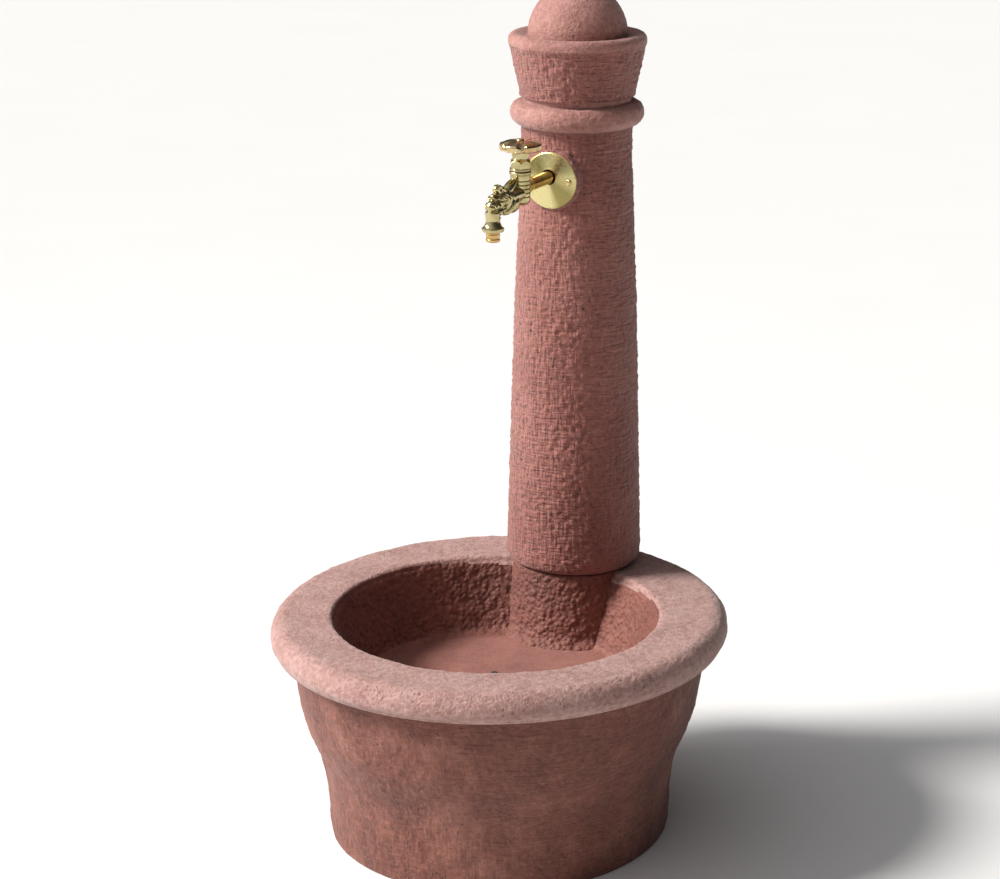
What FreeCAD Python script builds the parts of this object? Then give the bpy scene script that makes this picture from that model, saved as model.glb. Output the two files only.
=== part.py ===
import FreeCAD, Part
import Sketcher
import math
import os
import re

# Garden fountain of moulded plastic: an oval basin with a pedestal, a hollow column with a lid,
# and a brass tap on the column. Millimetres, +Z up, +X to the right, the tap points to -Y.
# The origin lies on the ground, below the middle of the basin.

document = FreeCAD.newDocument("GardenFountain")
V = FreeCAD.Vector

# Every driving size, in millimetres, degrees or plain ratios.
sizes = {
    # basin: half widths are along X, and the oval is longer along Y by one ratio
    "oval": 1.075,
    "foot_inset": 62.4,
    "waist_inset": 61.4,
    "waist_height": 34,
    "flare_inset": 51.8,
    "flare_height": 96,
    "shoulder_inset": 36.7,
    "shoulder_height": 136,
    "skirt_inset": 22.9,
    "skirt_tuck_inset": 21.4,
    "skirt_tuck_drop": 1,
    "rim_width": 250.4,
    "rim_underside": 222,
    "rim_roll_height": 10,
    "rim_upper_height": 21.4,
    "roll_lead": 1,
    "rim_top_round": 20,
    "rim_top_flat": 0.5,
    "rim_lip_round": 7,
    "roll_overlap": 2,
    "basin_wall": 6,
    # bowl: the opening sits a little forward in the rim
    "rim_ledge": 71.2,
    "bowl_extra_depth": 4.8,
    "bowl_shift": 10.4,
    "bowl_draft": 21,
    "bowl_height": 84.4,
    "bowl_floor_round": 18,
    # pedestal and column share one upright axis behind the bowl
    "column_inset": 80.48,
    "pedestal_step": 9,
    "pedestal_flare": 9,
    "pedestal_reach": 29.3,
    "locating_ring_height": 12,
    "locating_ring_wall": 5,
    "seat_clearance": 0.3,
    "column_foot_radius": 78.3,
    "column_foot_round": 8,
    "column_middle_radius": 70.7,
    "column_middle_height": 286.6,
    "column_head_radius": 62.8,
    "column_head_height": 476.6,
    "column_wall": 5,
    "foot_flange_bore": 49.6,
    "foot_flange_thickness": 8,
    "bead_proud": 12.1,
    "bead_height": 26,
    "bead_gap": 34,
    "bead_round": 12,
    "bore_narrows_from": 6,
    "bore_narrows_to": 14,
    "neck_step": 2.8,
    "neck_height": 6,
    "foot_screw_inset": 6.4,
    "foot_screw_radius": 2.4,
    "foot_screw_length": 22,
    "foot_screw_head_radius": 4.6,
    "foot_screw_head_height": 2.6,
    "foot_boss_radius": 6,
    "foot_boss_height": 24,
    "foot_boss_tip": 4,
    "screw_slot_length": 5.5,
    "screw_slot_width": 1,
    # capital: a flared lid with a ball
    "capital_overhang": 2,
    "capital_flare": 12.5,
    "capital_base_round": 2,
    "capital_lip_height": 11.5,
    "capital_flare_round": 20,
    "capital_height": 69.5,
    "capital_lip_round": 9,
    "capital_lip_width": 11.3,
    "capital_lip_inner_round": 4,
    "dish_slope": 6,
    "dish_depth": 7.5,
    "capital_wall": 4,
    "spigot_wall": 4.2,
    "spigot_depth": 18,
    "ball_radius": 55.7,
    "ball_lift": 5.6,
    # tap pad and rosette on the column's front
    "pad_drop": 19,
    "pad_radius": 33.5,
    "pad_reach": 66.2,
    "pad_depth": 16,
    "shank_rise": 4.4,
    "shank_thread_radius": 8.33,
    "shank_hole_clearance": 0.6,
    "rosette_inset": 1.9,
    "rosette_edge": 1.8,
    "rosette_rim_step": 0.6,
    "rosette_cone_height": 4,
    "rosette_cone_top": 11.5,
    "rosette_hole_gap": 0.4,
    "rosette_screw_offset": 23.5,
    "rosette_screw_radius": 2,
    "rosette_screw_head_radius": 3.4,
    "rosette_screw_head_height": 2.2,
    "rosette_screw_seat": 1,
    "rosette_screw_tip": 2,
    "screw_clearance": 0.35,
    # tap: the valve's upright axis, and the spout in front of it
    "valve_reach": 74.5,
    "barrel_radius": 11,
    "barrel_ring_radius": 12.1,
    "barrel_ring_height": 3.6,
    "edge_break": 0.8,
    "barrel_drop": 17.4,
    "barrel_foot_round": 7,
    "barrel_groove_depth": 0.8,
    "barrel_groove_width": 1.2,
    "barrel_groove_pitch": 4.4,
    "barrel_groove_start": 9,
    "barrel_grooves": 5,
    "shank_root_radius": 9,
    "shank_root_length": 14,
    "shank_neck_radius": 7.15,
    "shank_thread_lead": 1.5,
    "shank_reach": 13.5,
    "water_bore": 4.6,
    "water_bore_drop": 1,
    "seat_gap": 0.1,
    "seat_bore": 5,
    "seat_thickness": 2.5,
    "lower_chamber_radius": 6.6,
    "lower_chamber_drop": 9.4,
    "valve_chamber_radius": 8.4,
    "bonnet_thread_radius": 9,
    "bonnet_thread_length": 5,
    "thread_clearance": 0.04,
    "outlet_bore": 3.4,
    "outlet_inset": 2,
    "outlet_rise": 4.4,
    "outlet_turn_rise": 2,
    # bonnet, gland and spindle
    "bonnet_seal_thickness": 1,
    "bonnet_flange_radius": 11.6,
    "bonnet_flange_height": 3,
    "bonnet_bell_round": 4,
    "bonnet_straight": 3,
    "thread_end_gap": 0.4,
    "bonnet_head_radius": 8.9,
    "gland_engagement": 3.6,
    "bonnet_ledge_thickness": 2,
    "spindle_thread_radius": 6,
    "spindle_thread_length": 9.5,
    "spindle_step": 0.2,
    "ledge_gap": 0.5,
    "spindle_radius": 4,
    "spindle_in_knob": 9.1,
    "running_clearance": 0.06,
    "valve_travel": 4,
    "packing_radius": 6.5,
    "packing_height": 3.4,
    "gland_hex_radius": 10.2,
    "gland_height": 7.6,
    "gland_knob_gap": 0.8,
    "washer_radius": 6.8,
    "washer_thickness": 2.4,
    "washer_clearance": 0.2,
    "jumper_radius": 7.4,
    "jumper_thickness": 2,
    "jumper_gap": 0.4,
    "jumper_stem_radius": 3,
    "jumper_stem_length": 8,
    "jumper_screw_radius": 1.6,
    "jumper_screw_clearance": 0.1,
    "washer_nut_radius": 3.4,
    "washer_nut_height": 2,
    # hand wheel
    "knob_height": 8,
    "knob_crown": 3.2,
    "knob_radius": 23,
    "knob_hub_radius": 8,
    "knob_lobes": 6,
    "knob_scallop_radius": 9,
    "knob_scallop_circle": 29.5,
    "knob_edge_round": 2.2,
    "knob_fit": 0.02,
    "knob_screw_seat": 1,
    "knob_screw_head_radius": 4.2,
    "knob_screw_head_height": 2,
    "knob_screw_head_round": 1.4,
    "knob_screw_radius": 2,
    "knob_screw_length": 9,
    # animal-head spout
    "bridge_radius": 9.2,
    "head_reach": 50,
    "head_drop": 4.4,
    "head_length": 20,
    "head_half_width": 10.4,
    "head_half_height": 11.4,
    "snout_reach": 70,
    "snout_drop": 8.4,
    "snout_length": 14,
    "snout_half_width": 7.6,
    "snout_half_height": 7.8,
    "snout_pitch": 28,
    "throat_reach": 24,
    "throat_drop": 10.8,
    "throat_radius": 11.4,
    "crest_reach": 53,
    "crest_rise": 9.1,
    "crest_length": 8,
    "crest_half_width": 5,
    "crest_half_height": 5.6,
    "crest_pitch": -30,
    "crest_root_half_height": 7.6,
    "crest_root_drop": 6,
    "crest_root_back": 6,
    "crest_root_pitch": -45,
    "spout_reach": 64.4,
    "neck_top_radius": 9.6,
    "neck_drop": 13.4,
    "collar_drop": 24.4,
    "collar_top_radius": 8.4,
    "collar_radius": 12.1,
    "collar_foot_radius": 11.1,
    "collar_flare_height": 6.4,
    "collar_lip_height": 3.1,
    "nozzle_radius": 7.7,
    "nozzle_length": 11,
    "nozzle_bore": 5,
    "nozzle_thread_radius": 6.4,
    "nozzle_thread_length": 5,
    "nozzle_washer_thickness": 1.2,
    # bowl waste
    "drain_front": -14,
    "drain_flange_width": 4.9,
    "drain_flange_thickness": 2.4,
    "drain_flange_round": 1.6,
    "drain_wall": 1.6,
    "drain_bore": 12.5,
    "drain_thread_length": 22,
    "drain_thread_depth": 0.6,
    "drain_length": 46,
    "drain_recess_step": 2.5,
    "drain_gasket_thickness": 2,
    "drain_nut_height": 9,
    "drain_nut_radius": 25,
    "plug_head_clearance": 0.6,
    "plug_head_thickness": 3,
    "plug_taper": 0.8,
    "plug_depth": 12,
    "plug_grip_radius": 4,
    "plug_grip_waist": 2.6,
    "plug_grip_height": 12,
    # inlet at the rear of the skirt
    "inlet_height": 42,
    "inlet_pad_radius": 24,
    "inlet_pad_proud": 7.9,
    "inlet_pad_depth": 16,
    "inlet_radius": 13.2,
    "inlet_thread_length": 22,
    "inlet_flange_width": 5.8,
    "inlet_flange_thickness": 5,
    "inlet_wall": 3.7,
    "inlet_elbow_gap": 1,
    "inlet_gasket_thickness": 2,
    "inlet_nut_radius": 22,
    "inlet_nut_height": 8,
    "inlet_socket_depth": 7,
    # elbows and hose
    "riser_offset": 25.7,
    "elbow_wall": 3.8,
    "elbow_step": 1,
    "elbow_neck_radius": 9.2,
    "tail_root": 0.5,
    "tail_radius": 6.5,
    "tail_barb": 0.7,
    "tail_barb_length": 2.1,
    "tail_length": 24,
    "tail_bore": 4.2,
    "wall_elbow_radius": 12.6,
    "wall_elbow_plate_width": 54,
    "wall_elbow_plate_height": 25,
    "wall_elbow_plate_thickness": 3.5,
    "wall_elbow_drop": 20,
    "inlet_elbow_rise": 24,
    "shank_seal_thickness": 2,
    "hose_bore": 7.3,
    "hose_wall": 2.6,
    "hose_end_gap": 0.5,
    "clamp_width": 9,
    "clamp_thickness": 1,
    "clamp_screw_radius": 3,
    "clamp_screw_length": 12,
    "clamp_screw_inset": 0.6,
    "clamp_clearance": 0.1,
    # how far a cutter reaches past what it cuts
    "cut_margin": 1,
}

# Places and sizes that follow from the ones above.
derived = {
    "rim_middle": "rim_underside + rim_roll_height",
    "rim_roll": "rim_roll_height + roll_overlap + roll_lead",
    "rim_top": "rim_middle + rim_upper_height",
    "foot_width": "rim_width - foot_inset",
    "waist_width": "rim_width - waist_inset",
    "flare_width": "rim_width - flare_inset",
    "shoulder_width": "rim_width - shoulder_inset",
    "wall_top_width": "rim_width - skirt_inset",
    "skirt_tuck_width": "rim_width - skirt_tuck_inset",
    "bowl_floor": "rim_top - bowl_height",
    "bowl_width": "rim_width - rim_ledge",
    "bowl_depth": "bowl_width + bowl_extra_depth",
    "column_back": "rim_width * oval - column_inset",
    "pedestal_radius": "column_foot_radius - pedestal_step",
    "pedestal_back": "column_back + pedestal_reach",
    "foot_screw_circle": "foot_flange_bore + foot_screw_inset",
    "bead_radius": "column_head_radius + bead_proud",
    "bead_start": "column_head_height + bead_gap",
    "neck_radius": "column_head_radius - neck_step",
    "neck_bore": "neck_radius - column_wall",
    "capital_base_radius": "column_head_radius + capital_overhang",
    "capital_lip_radius": "capital_base_radius + capital_flare",
    "capital_flare_height": "capital_height - capital_lip_height",
    "capital_lip_inner": "capital_lip_radius - capital_lip_width",
    "dish_radius": "capital_lip_inner - dish_slope",
    "dish_height": "capital_height - dish_depth",
    "capital_base_bore": "neck_bore - seat_clearance - spigot_wall",
    "ball_height": "dish_height + ball_lift",
    "pad_height": "rim_top + column_head_height - pad_drop",
    "pad_front": "column_back - pad_reach",
    "pad_back": "pad_front + pad_depth",
    "shank_height": "pad_height + shank_rise",
    "rosette_radius": "pad_radius - rosette_inset",
    "rosette_hole_radius": "shank_root_radius + rosette_hole_gap",
    "valve_front": "pad_front - valve_reach",
    "barrel_top": ("seat_height + washer_thickness + jumper_thickness + valve_travel + jumper_gap +"
        " bonnet_thread_length - thread_end_gap"),
    "barrel_foot": "shank_height - barrel_drop",
    "shank_thread_start": "pad_front - shank_thread_lead",
    "shank_end": "pad_back + shank_reach",
    "seat_height": "shank_height - water_bore_drop + water_bore + seat_gap + seat_thickness",
    "lower_chamber_floor": "shank_height - lower_chamber_drop",
    "knob_underside": ("barrel_top + bonnet_seal_thickness + bonnet_head_height + gland_height +"
        " gland_knob_gap"),
    "spindle_top": "knob_underside + spindle_in_knob",
    "bonnet_head_height": ("spindle_thread_length + ledge_gap + bonnet_ledge_thickness + packing_height +"
        " gland_engagement - jumper_gap - bonnet_thread_length + thread_end_gap -"
        " bonnet_seal_thickness"),
    "head_front": "valve_front - head_reach",
    "head_height": "shank_height - head_drop",
    "snout_front": "valve_front - snout_reach",
    "snout_height": "shank_height - snout_drop",
    "throat_front": "valve_front - throat_reach",
    "throat_height": "shank_height - throat_drop",
    "crest_front": "valve_front - crest_reach",
    "crest_height": "shank_height + crest_rise",
    "spout_front": "valve_front - spout_reach",
    "neck_top": "shank_height - neck_drop",
    "collar_top": "shank_height - collar_drop",
    "collar_widest": "collar_top - collar_flare_height",
    "collar_bottom": "collar_widest - collar_lip_height",
    "nozzle_end": "collar_bottom - nozzle_length",
    "drain_recess_radius": "drain_bore + drain_recess_step",
    "drain_thread_radius": "drain_recess_radius + drain_wall",
    "drain_tail_radius": "drain_thread_radius - drain_thread_depth",
    "drain_flange_radius": "drain_thread_radius + drain_flange_width",
    "plug_head_radius": "drain_recess_radius - plug_head_clearance",
    "plug_radius": "drain_bore - seat_clearance",
    "plug_foot_radius": "plug_radius - plug_taper",
    "inlet_pad_back": "foot_width * oval + inlet_pad_proud",
    "inlet_pad_front": "inlet_pad_back - inlet_pad_depth",
    "inlet_bore": "inlet_radius - inlet_wall",
    "inlet_flange_radius": "inlet_radius + inlet_flange_width",
    "inlet_tail_length": ("inlet_gasket_thickness + inlet_pad_depth + inlet_nut_height + inlet_elbow_gap +"
        " inlet_socket_depth"),
    "riser_back": "column_back - riser_offset",
    "elbow_radius": "inlet_radius + elbow_wall",
    "elbow_bore": "inlet_bore - elbow_step",
}

sheet = document.addObject("Spreadsheet::Sheet", "Sizes")
for row, (name, value) in enumerate(sizes.items(), start=1):
    sheet.set(f"A{row}", name)
    sheet.set(f"B{row}", str(value))
    sheet.setAlias(f"B{row}", name)
document.recompute()


def spelled_out(word):
    # a derived name as the expression behind it, and a size as its cell in the sheet
    if word[0] in derived:
        return f"({bound(derived[word[0]])})"
    return f"Sizes.{word[0]}" if word[0] in sizes else word[0]


def bound(text):
    # the expression with each name pointing at the sheet
    return re.sub(r"[A-Za-z_]\w*", spelled_out, str(text))


def number(text):
    # the value of an expression of size names
    return float(sheet.evalExpression(bound(text).replace("Sizes.", "")))


def bind(thing, **expressions):
    for name, text in expressions.items():
        thing.setExpression(name, bound(text))


def place(thing, position=("0", "0", "0"), turn=None):
    # moves a piece to a place given by expressions, after turning it by (axis, degrees)
    if turn:
        thing.Placement = FreeCAD.Placement(V(0, 0, 0), FreeCAD.Rotation(V(*turn[0]), turn[1]))
    for letter, text in zip("xyz", position):
        if text != "0":
            thing.setExpression(f".Placement.Base.{letter}", bound(text))
    return thing


TO_BACK = ((1, 0, 0), -90)
TO_FRONT = ((1, 0, 0), 90)
DOWN = ((1, 0, 0), 180)


def rounded_corner(before, corner, after, radius):
    # the two tangent points and the middle of an arc that rounds a corner
    to_before = (before - corner).normalize()
    to_after = (after - corner).normalize()
    half_angle = to_before.getAngle(to_after) / 2
    reach = radius / math.tan(half_angle)
    middle_line = (to_before + to_after).normalize()
    centre = corner + middle_line * (radius / math.sin(half_angle))
    return corner + to_before * reach, centre - middle_line * radius, corner + to_after * reach


def draw_outline(sketch, corners):
    # a closed outline through corners (across, up, optional rounding), each bound to the sheet
    points = [V(number(corner[0]), number(corner[1]), 0) for corner in corners]
    count = len(corners)
    starts, ends, arcs = [], [], []
    for index, corner in enumerate(corners):
        if len(corner) == 3:
            first, middle, last = rounded_corner(points[index - 1], points[index],
                                                 points[(index + 1) % count], number(corner[2]))
            arcs.append((first, middle, last))
            ends.append(first)
            starts.append(last)
        else:
            arcs.append(None)
            ends.append(points[index])
            starts.append(points[index])
    lines = [sketch.addGeometry(Part.LineSegment(starts[index], ends[(index + 1) % count]), False)
             for index in range(count)]

    def pin_point(geometry, position, corner):
        for axis_id, kind, text in ((-2, "DistanceX", corner[0]), (-1, "DistanceY", corner[1])):
            if str(text) == "0":
                sketch.addConstraint(Sketcher.Constraint("PointOnObject", geometry, position, axis_id))
            else:
                rule = sketch.addConstraint(Sketcher.Constraint(kind, geometry, position, number(text)))
                sketch.setExpression(f"Constraints[{rule}]", bound(text))

    for index, corner in enumerate(corners):
        before, after = lines[index - 1], lines[index]
        if arcs[index] is None:
            sketch.addConstraint(Sketcher.Constraint("Coincident", before, 2, after, 1))
            pin_point(after, 1, corner)
            continue
        first, middle, last = arcs[index]
        arc = sketch.addGeometry(Part.Arc(first, middle, last), False)
        mark = sketch.addGeometry(Part.Point(points[index]), True)
        pin_point(mark, 1, corner)
        sketch.addConstraint(Sketcher.Constraint("PointOnObject", mark, 1, before))
        sketch.addConstraint(Sketcher.Constraint("PointOnObject", mark, 1, after))
        # an arc's own start and end run anticlockwise, whichever way it was drawn
        arc_start = sketch.Geometry[arc].StartPoint
        near, far = (1, 2) if (arc_start - first).Length < (arc_start - last).Length else (2, 1)
        sketch.addConstraint(Sketcher.Constraint("Tangent", before, 2, arc, near))
        sketch.addConstraint(Sketcher.Constraint("Tangent", arc, far, after, 1))
        rule = sketch.addConstraint(Sketcher.Constraint("Radius", arc, number(corner[2])))
        sketch.setExpression(f"Constraints[{rule}]", bound(corner[2]))


def sketch_on(body, role, name):
    plane = next(item for item in body.Origin.OriginFeatures if item.Role == role)
    sketch = body.newObject("Sketcher::SketchObject", name)
    sketch.AttachmentSupport = [(plane, "")]
    sketch.MapMode = "FlatFace"
    return sketch


def turned(name, corners, position=("0", "0", "0"), turn=None):
    # a piece turned about its own upright axis from an outline of (radius, height) corners
    body = document.addObject("PartDesign::Body", name)
    sketch = sketch_on(body, "XZ_Plane", f"{name}_outline")
    draw_outline(sketch, corners)
    spin = body.newObject("PartDesign::Revolution", f"{name}_turning")
    spin.Profile = sketch
    spin.ReferenceAxis = (sketch, ["V_Axis"])
    spin.Angle = 360
    sketch.Visibility = False
    return place(body, position, turn)


def tube(name, outer, inner, height, position=("0", "0", "0"), turn=None):
    corners = [(inner, "0"), (outer, "0"), (outer, height), (inner, height)]
    return turned(name, corners, position, turn)


def rod(name, radius, height, position=("0", "0", "0"), turn=None):
    thing = document.addObject("Part::Cylinder", name)
    bind(thing, Radius=radius, Height=height)
    return place(thing, position, turn)


def cone(name, bottom, top, height, position=("0", "0", "0"), turn=None):
    thing = document.addObject("Part::Cone", name)
    bind(thing, Radius1=bottom, Radius2=top, Height=height)
    return place(thing, position, turn)


def hexagon(name, radius, height, position=("0", "0", "0"), turn=None):
    thing = document.addObject("Part::Prism", name)
    thing.Polygon = 6
    bind(thing, Circumradius=radius, Height=height)
    return place(thing, position, turn)


def block(name, length, width, height, position):
    thing = document.addObject("Part::Box", name)
    bind(thing, Length=length, Width=width, Height=height)
    return place(thing, position)


def egg(name, half_length, half_width, half_height, position, pitch="0"):
    # an ellipsoid: half length along Y, half width along X, pitched about X
    thing = document.addObject("Part::Ellipsoid", name)
    thing.Angle1 = -90
    bind(thing, Radius1=half_height, Radius2=half_width, Radius3=half_length)
    return place(thing, position, ((1, 0, 0), number(pitch)))


def fuse(name, *pieces):
    thing = document.addObject("Part::MultiFuse", name)
    thing.Shapes = list(pieces)
    thing.Refine = True
    return thing


def cut(name, base, *tools):
    tool = tools[0]
    if len(tools) > 1:
        tool = document.addObject("Part::MultiFuse", f"{name}_tools")
        tool.Shapes = list(tools)
    thing = document.addObject("Part::Cut", name)
    thing.Base = base
    thing.Tool = tool
    thing.Refine = True
    return thing


def common(name, first, second):
    thing = document.addObject("Part::Common", name)
    thing.Base = first
    thing.Tool = second
    return thing


def rounding(name, base, radius, wanted):
    # rounds each edge of a piece that the test "wanted" picks
    document.recompute()
    size = number(radius)
    picked = [index for index, edge in enumerate(base.Shape.Edges, start=1) if wanted(edge)]
    thing = document.addObject("Part::Fillet", name)
    thing.Base = base
    thing.Edges = [(index, size, size) for index in picked]
    return thing


def at_height(height, tolerance=0.01):
    # picks closed edges that lie level at one height
    level = number(height)
    return lambda edge: max(abs(edge.BoundBox.ZMin - level), abs(edge.BoundBox.ZMax - level)) < tolerance


def group(name, *pieces):
    thing = document.addObject("Part::Compound", name)
    thing.Links = list(pieces)
    return thing


def oval(name, half_width, half_depth, height, shift="0"):
    # an ellipse that is longer along Y
    thing = document.addObject("Part::Ellipse", name)
    bind(thing, MajorRadius=half_depth, MinorRadius=half_width)
    return place(thing, ("0", shift, height), ((0, 0, 1), 90))


def loft(name, sections, ruled=False):
    thing = document.addObject("Part::Loft", name)
    thing.Sections = sections
    thing.Solid = True
    thing.Ruled = ruled
    return thing


# basin
ROLL_STEPS = 5


def wall_body(name, inset, bottom, top):
    # the flared skirt, drawn in by the inset
    stations = [("foot_width", bottom), ("waist_width", "waist_height"), ("flare_width", "flare_height"),
                ("shoulder_width", "shoulder_height"), ("wall_top_width", "rim_underside"),
                ("skirt_tuck_width", top)]
    return loft(name, [oval(f"{name}_{index}", f"{width} - {inset}", f"{width} * oval - {inset}", height)
                       for index, (width, height) in enumerate(stations)])


def roll_body(name):
    # the rim's underside, an arc that rises outwards to the widest level
    sections = []
    for step in range(ROLL_STEPS + 1):
        below = f"(rim_middle - rim_underside + roll_overlap) * {1 - step / ROLL_STEPS:.3f}"
        drawn_in = f"(rim_roll - sqrt(rim_roll ^ 2 - ({below}) ^ 2))"
        sections.append(oval(f"{name}_{step}", f"rim_width - {drawn_in}", f"(rim_width - {drawn_in}) * oval",
                             f"rim_middle - {below}"))
    return loft(name, sections)


def rim_body(name, inset, low, top):
    # the rim's upper part, straight up and rounded at the top
    levels = [oval(f"{name}_{level}", f"rim_width - {inset}", f"rim_width * oval - {inset}", height)
              for level, height in (("low", low), ("high", top))]
    ring = loft(f"{name}_block", levels, True)
    return rounding(name, ring, f"min(rim_top_round - {inset}; {top} - ({low}) - rim_top_flat)",
                    at_height(top))


def bowl_body(name, outset, floor, top, floor_round):
    # the bowl's space, which widens upwards by its draft
    slope = "tan(bowl_draft * 1deg)"
    sections = [oval(f"{name}_{height_name}",
                     f"bowl_width + {outset} - (rim_top - ({height})) * {slope}",
                     f"bowl_depth + {outset} - (rim_top - ({height})) * {slope}", height, "-bowl_shift")
                for height_name, height in (("floor", floor), ("top", top))]
    return rounding(name, loft(f"{name}_block", sections, True), floor_round, at_height(floor))


def pedestal_body(name, inset, bottom, top):
    # the round pedestal, wider towards its foot
    slope = "pedestal_flare / (rim_top - bowl_floor)"
    return cone(name, f"pedestal_radius - {inset} + (rim_top - ({bottom})) * {slope}",
                f"pedestal_radius - {inset} + (rim_top - ({top})) * {slope}", f"{top} - ({bottom})",
                ("0", "column_back", bottom))


skirt = wall_body("skirt", "0", "0", "rim_middle - skirt_tuck_drop")
roll = roll_body("rim_roll_body")
rim = rim_body("rim_upper", "0", "rim_middle", "rim_top")
bowl_space = bowl_body("bowl_space", "0", "bowl_floor", "rim_top + cut_margin", "bowl_floor_round")
whole_outside = fuse("whole_outside", skirt, roll, rim)
rim_cut = cut("rim_cut", whole_outside, bowl_space)
on_rim_top = at_height("rim_top")
widest_lip = number("2 * rim_width - 2 * rim_top_round - rim_lip_round")
rim_lipped = rounding("rim_lipped", rim_cut, "rim_lip_round",
                      lambda edge: on_rim_top(edge) and edge.BoundBox.XLength < widest_lip)
inner_skirt = wall_body("inner_skirt", "basin_wall", "-cut_margin", "rim_middle - skirt_tuck_drop")
inner_rim = rim_body("inner_rim", "basin_wall", "rim_underside - roll_overlap + basin_wall",
                     "rim_top - basin_wall")
under_space = fuse("under_space", inner_skirt, inner_rim)
bowl_skin = bowl_body("bowl_skin", "basin_wall", "bowl_floor - basin_wall", "rim_top",
                      "bowl_floor_round + basin_wall")
shell = cut("basin_shell", rim_lipped, cut("space_below_bowl", under_space, bowl_skin))
pedestal = common("pedestal", pedestal_body("pedestal_cone", "0", "bowl_floor - 2 * basin_wall", "rim_top"),
                  block("pedestal_limit", "4 * pedestal_radius", "pedestal_back", "rim_top + cut_margin",
                        ("-2 * pedestal_radius", "0", "0")))
pedestal_space = common("pedestal_space",
                        pedestal_body("pedestal_core", "basin_wall", "bowl_floor - 5 * basin_wall",
                                      "rim_top - basin_wall"),
                        block("pedestal_space_limit", "4 * pedestal_radius", "pedestal_back + cut_margin",
                              "rim_top + cut_margin", ("-2 * pedestal_radius", "0", "0")))
open_shell = cut("open_shell", fuse("shell_and_pedestal", shell, pedestal), pedestal_space)
inlet_pad = rod("inlet_pad", "inlet_pad_radius", "inlet_pad_back - inlet_pad_front",
                ("0", "inlet_pad_front", "inlet_height"), TO_BACK)
locating_ring = rod("locating_ring", "foot_flange_bore - seat_clearance", "locating_ring_height",
                    ("0", "column_back", "rim_top"))
basin_solid = fuse("basin_solid", open_shell, inlet_pad, locating_ring)
hose_way = rod("hose_way", "foot_flange_bore - seat_clearance - locating_ring_wall",
               "basin_wall + locating_ring_height + 2 * cut_margin",
               ("0", "column_back", "rim_top - basin_wall - cut_margin"))
inlet_hole = rod("inlet_hole", "inlet_radius + seat_clearance",
                 "inlet_pad_back - inlet_pad_front + 2 * cut_margin",
                 ("0", "inlet_pad_front - cut_margin", "inlet_height"), TO_BACK)
drain_hole = rod("drain_hole", "drain_thread_radius + seat_clearance", "basin_wall + 2 * cut_margin",
                 ("0", "drain_front", "bowl_floor - basin_wall - cut_margin"))


def foot_screw_place(index, height):
    # the screws stand at the corners of a square round the column's axis
    angle = 45 + 90 * index
    return (f"foot_screw_circle * {math.cos(math.radians(angle)):.5f}",
            f"column_back + foot_screw_circle * {math.sin(math.radians(angle)):.5f}", height)


foot_screw_holes = [rod(f"foot_screw_hole_{index}", "foot_screw_radius + screw_clearance",
                        "basin_wall + 2 * cut_margin",
                        foot_screw_place(index, "rim_top - basin_wall - cut_margin")) for index in range(4)]
basin = cut("basin", basin_solid, hose_way, inlet_hole, drain_hole, *foot_screw_holes)

# column
def on_column(height):
    # a place on the column's axis, measured up from its foot
    return ("0", "column_back", f"rim_top + {height}" if height != "0" else "rim_top")


def on_front(height, front):
    # a place on the tap's middle plane
    return ("0", front, height)


neck_top = "bead_start + bead_height + neck_height"
column_outside = turned("column_outside", [
    ("0", "0"),
    ("column_foot_radius", "0", "column_foot_round"),
    ("column_middle_radius", "column_middle_height"),
    ("column_head_radius", "column_head_height"),
    ("column_head_radius", "bead_start"),
    ("bead_radius", "bead_start", "bead_round"),
    ("bead_radius", "bead_start + bead_height", "bead_round"),
    ("neck_radius", "bead_start + bead_height"),
    ("neck_radius", neck_top),
    ("0", neck_top),
], on_column("0"))
column_space = turned("column_space", [
    ("0", "-cut_margin"),
    ("foot_flange_bore", "-cut_margin"),
    ("foot_flange_bore", "foot_flange_thickness"),
    ("column_foot_radius - column_wall", "foot_flange_thickness"),
    ("column_middle_radius - column_wall", "column_middle_height"),
    ("column_head_radius - column_wall", "column_head_height"),
    ("column_head_radius - column_wall", "bead_start + bore_narrows_from"),
    ("neck_bore", "bead_start + bore_narrows_to"),
    ("neck_bore", f"{neck_top} + cut_margin"),
    ("0", f"{neck_top} + cut_margin"),
], on_column("0"))
tap_pad = rod("tap_pad", "pad_radius", "pad_back - pad_front", on_front("pad_height", "pad_front"), TO_BACK)
foot_bosses = [rod(f"foot_boss_{index}", "foot_boss_radius", "foot_boss_height",
                   foot_screw_place(index, "rim_top")) for index in range(4)]
column_solid = fuse("column_solid", cut("column_shell", column_outside, column_space), tap_pad, *foot_bosses)
pad_reach = "pad_back - pad_front + 2 * cut_margin"
tap_hole = rod("tap_hole", "shank_thread_radius + shank_hole_clearance", pad_reach,
               on_front("shank_height", "pad_front - cut_margin"), TO_BACK)


def rosette_screw_place(side, front):
    return (f"{side} * rosette_screw_offset", front, "pad_height")


pad_screw_holes = [rod(f"pad_screw_hole_{index}", "rosette_screw_radius + screw_clearance",
                       pad_reach, rosette_screw_place(side, "pad_front - cut_margin"), TO_BACK)
                   for index, side in enumerate((-1, 1))]
boss_holes = [rod(f"boss_hole_{index}", "foot_screw_radius + thread_clearance",
                  "foot_boss_height - foot_boss_tip + cut_margin",
                  foot_screw_place(index, "rim_top - cut_margin")) for index in range(4)]
column = cut("column", column_solid, tap_hole, *pad_screw_holes, *boss_holes)

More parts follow.
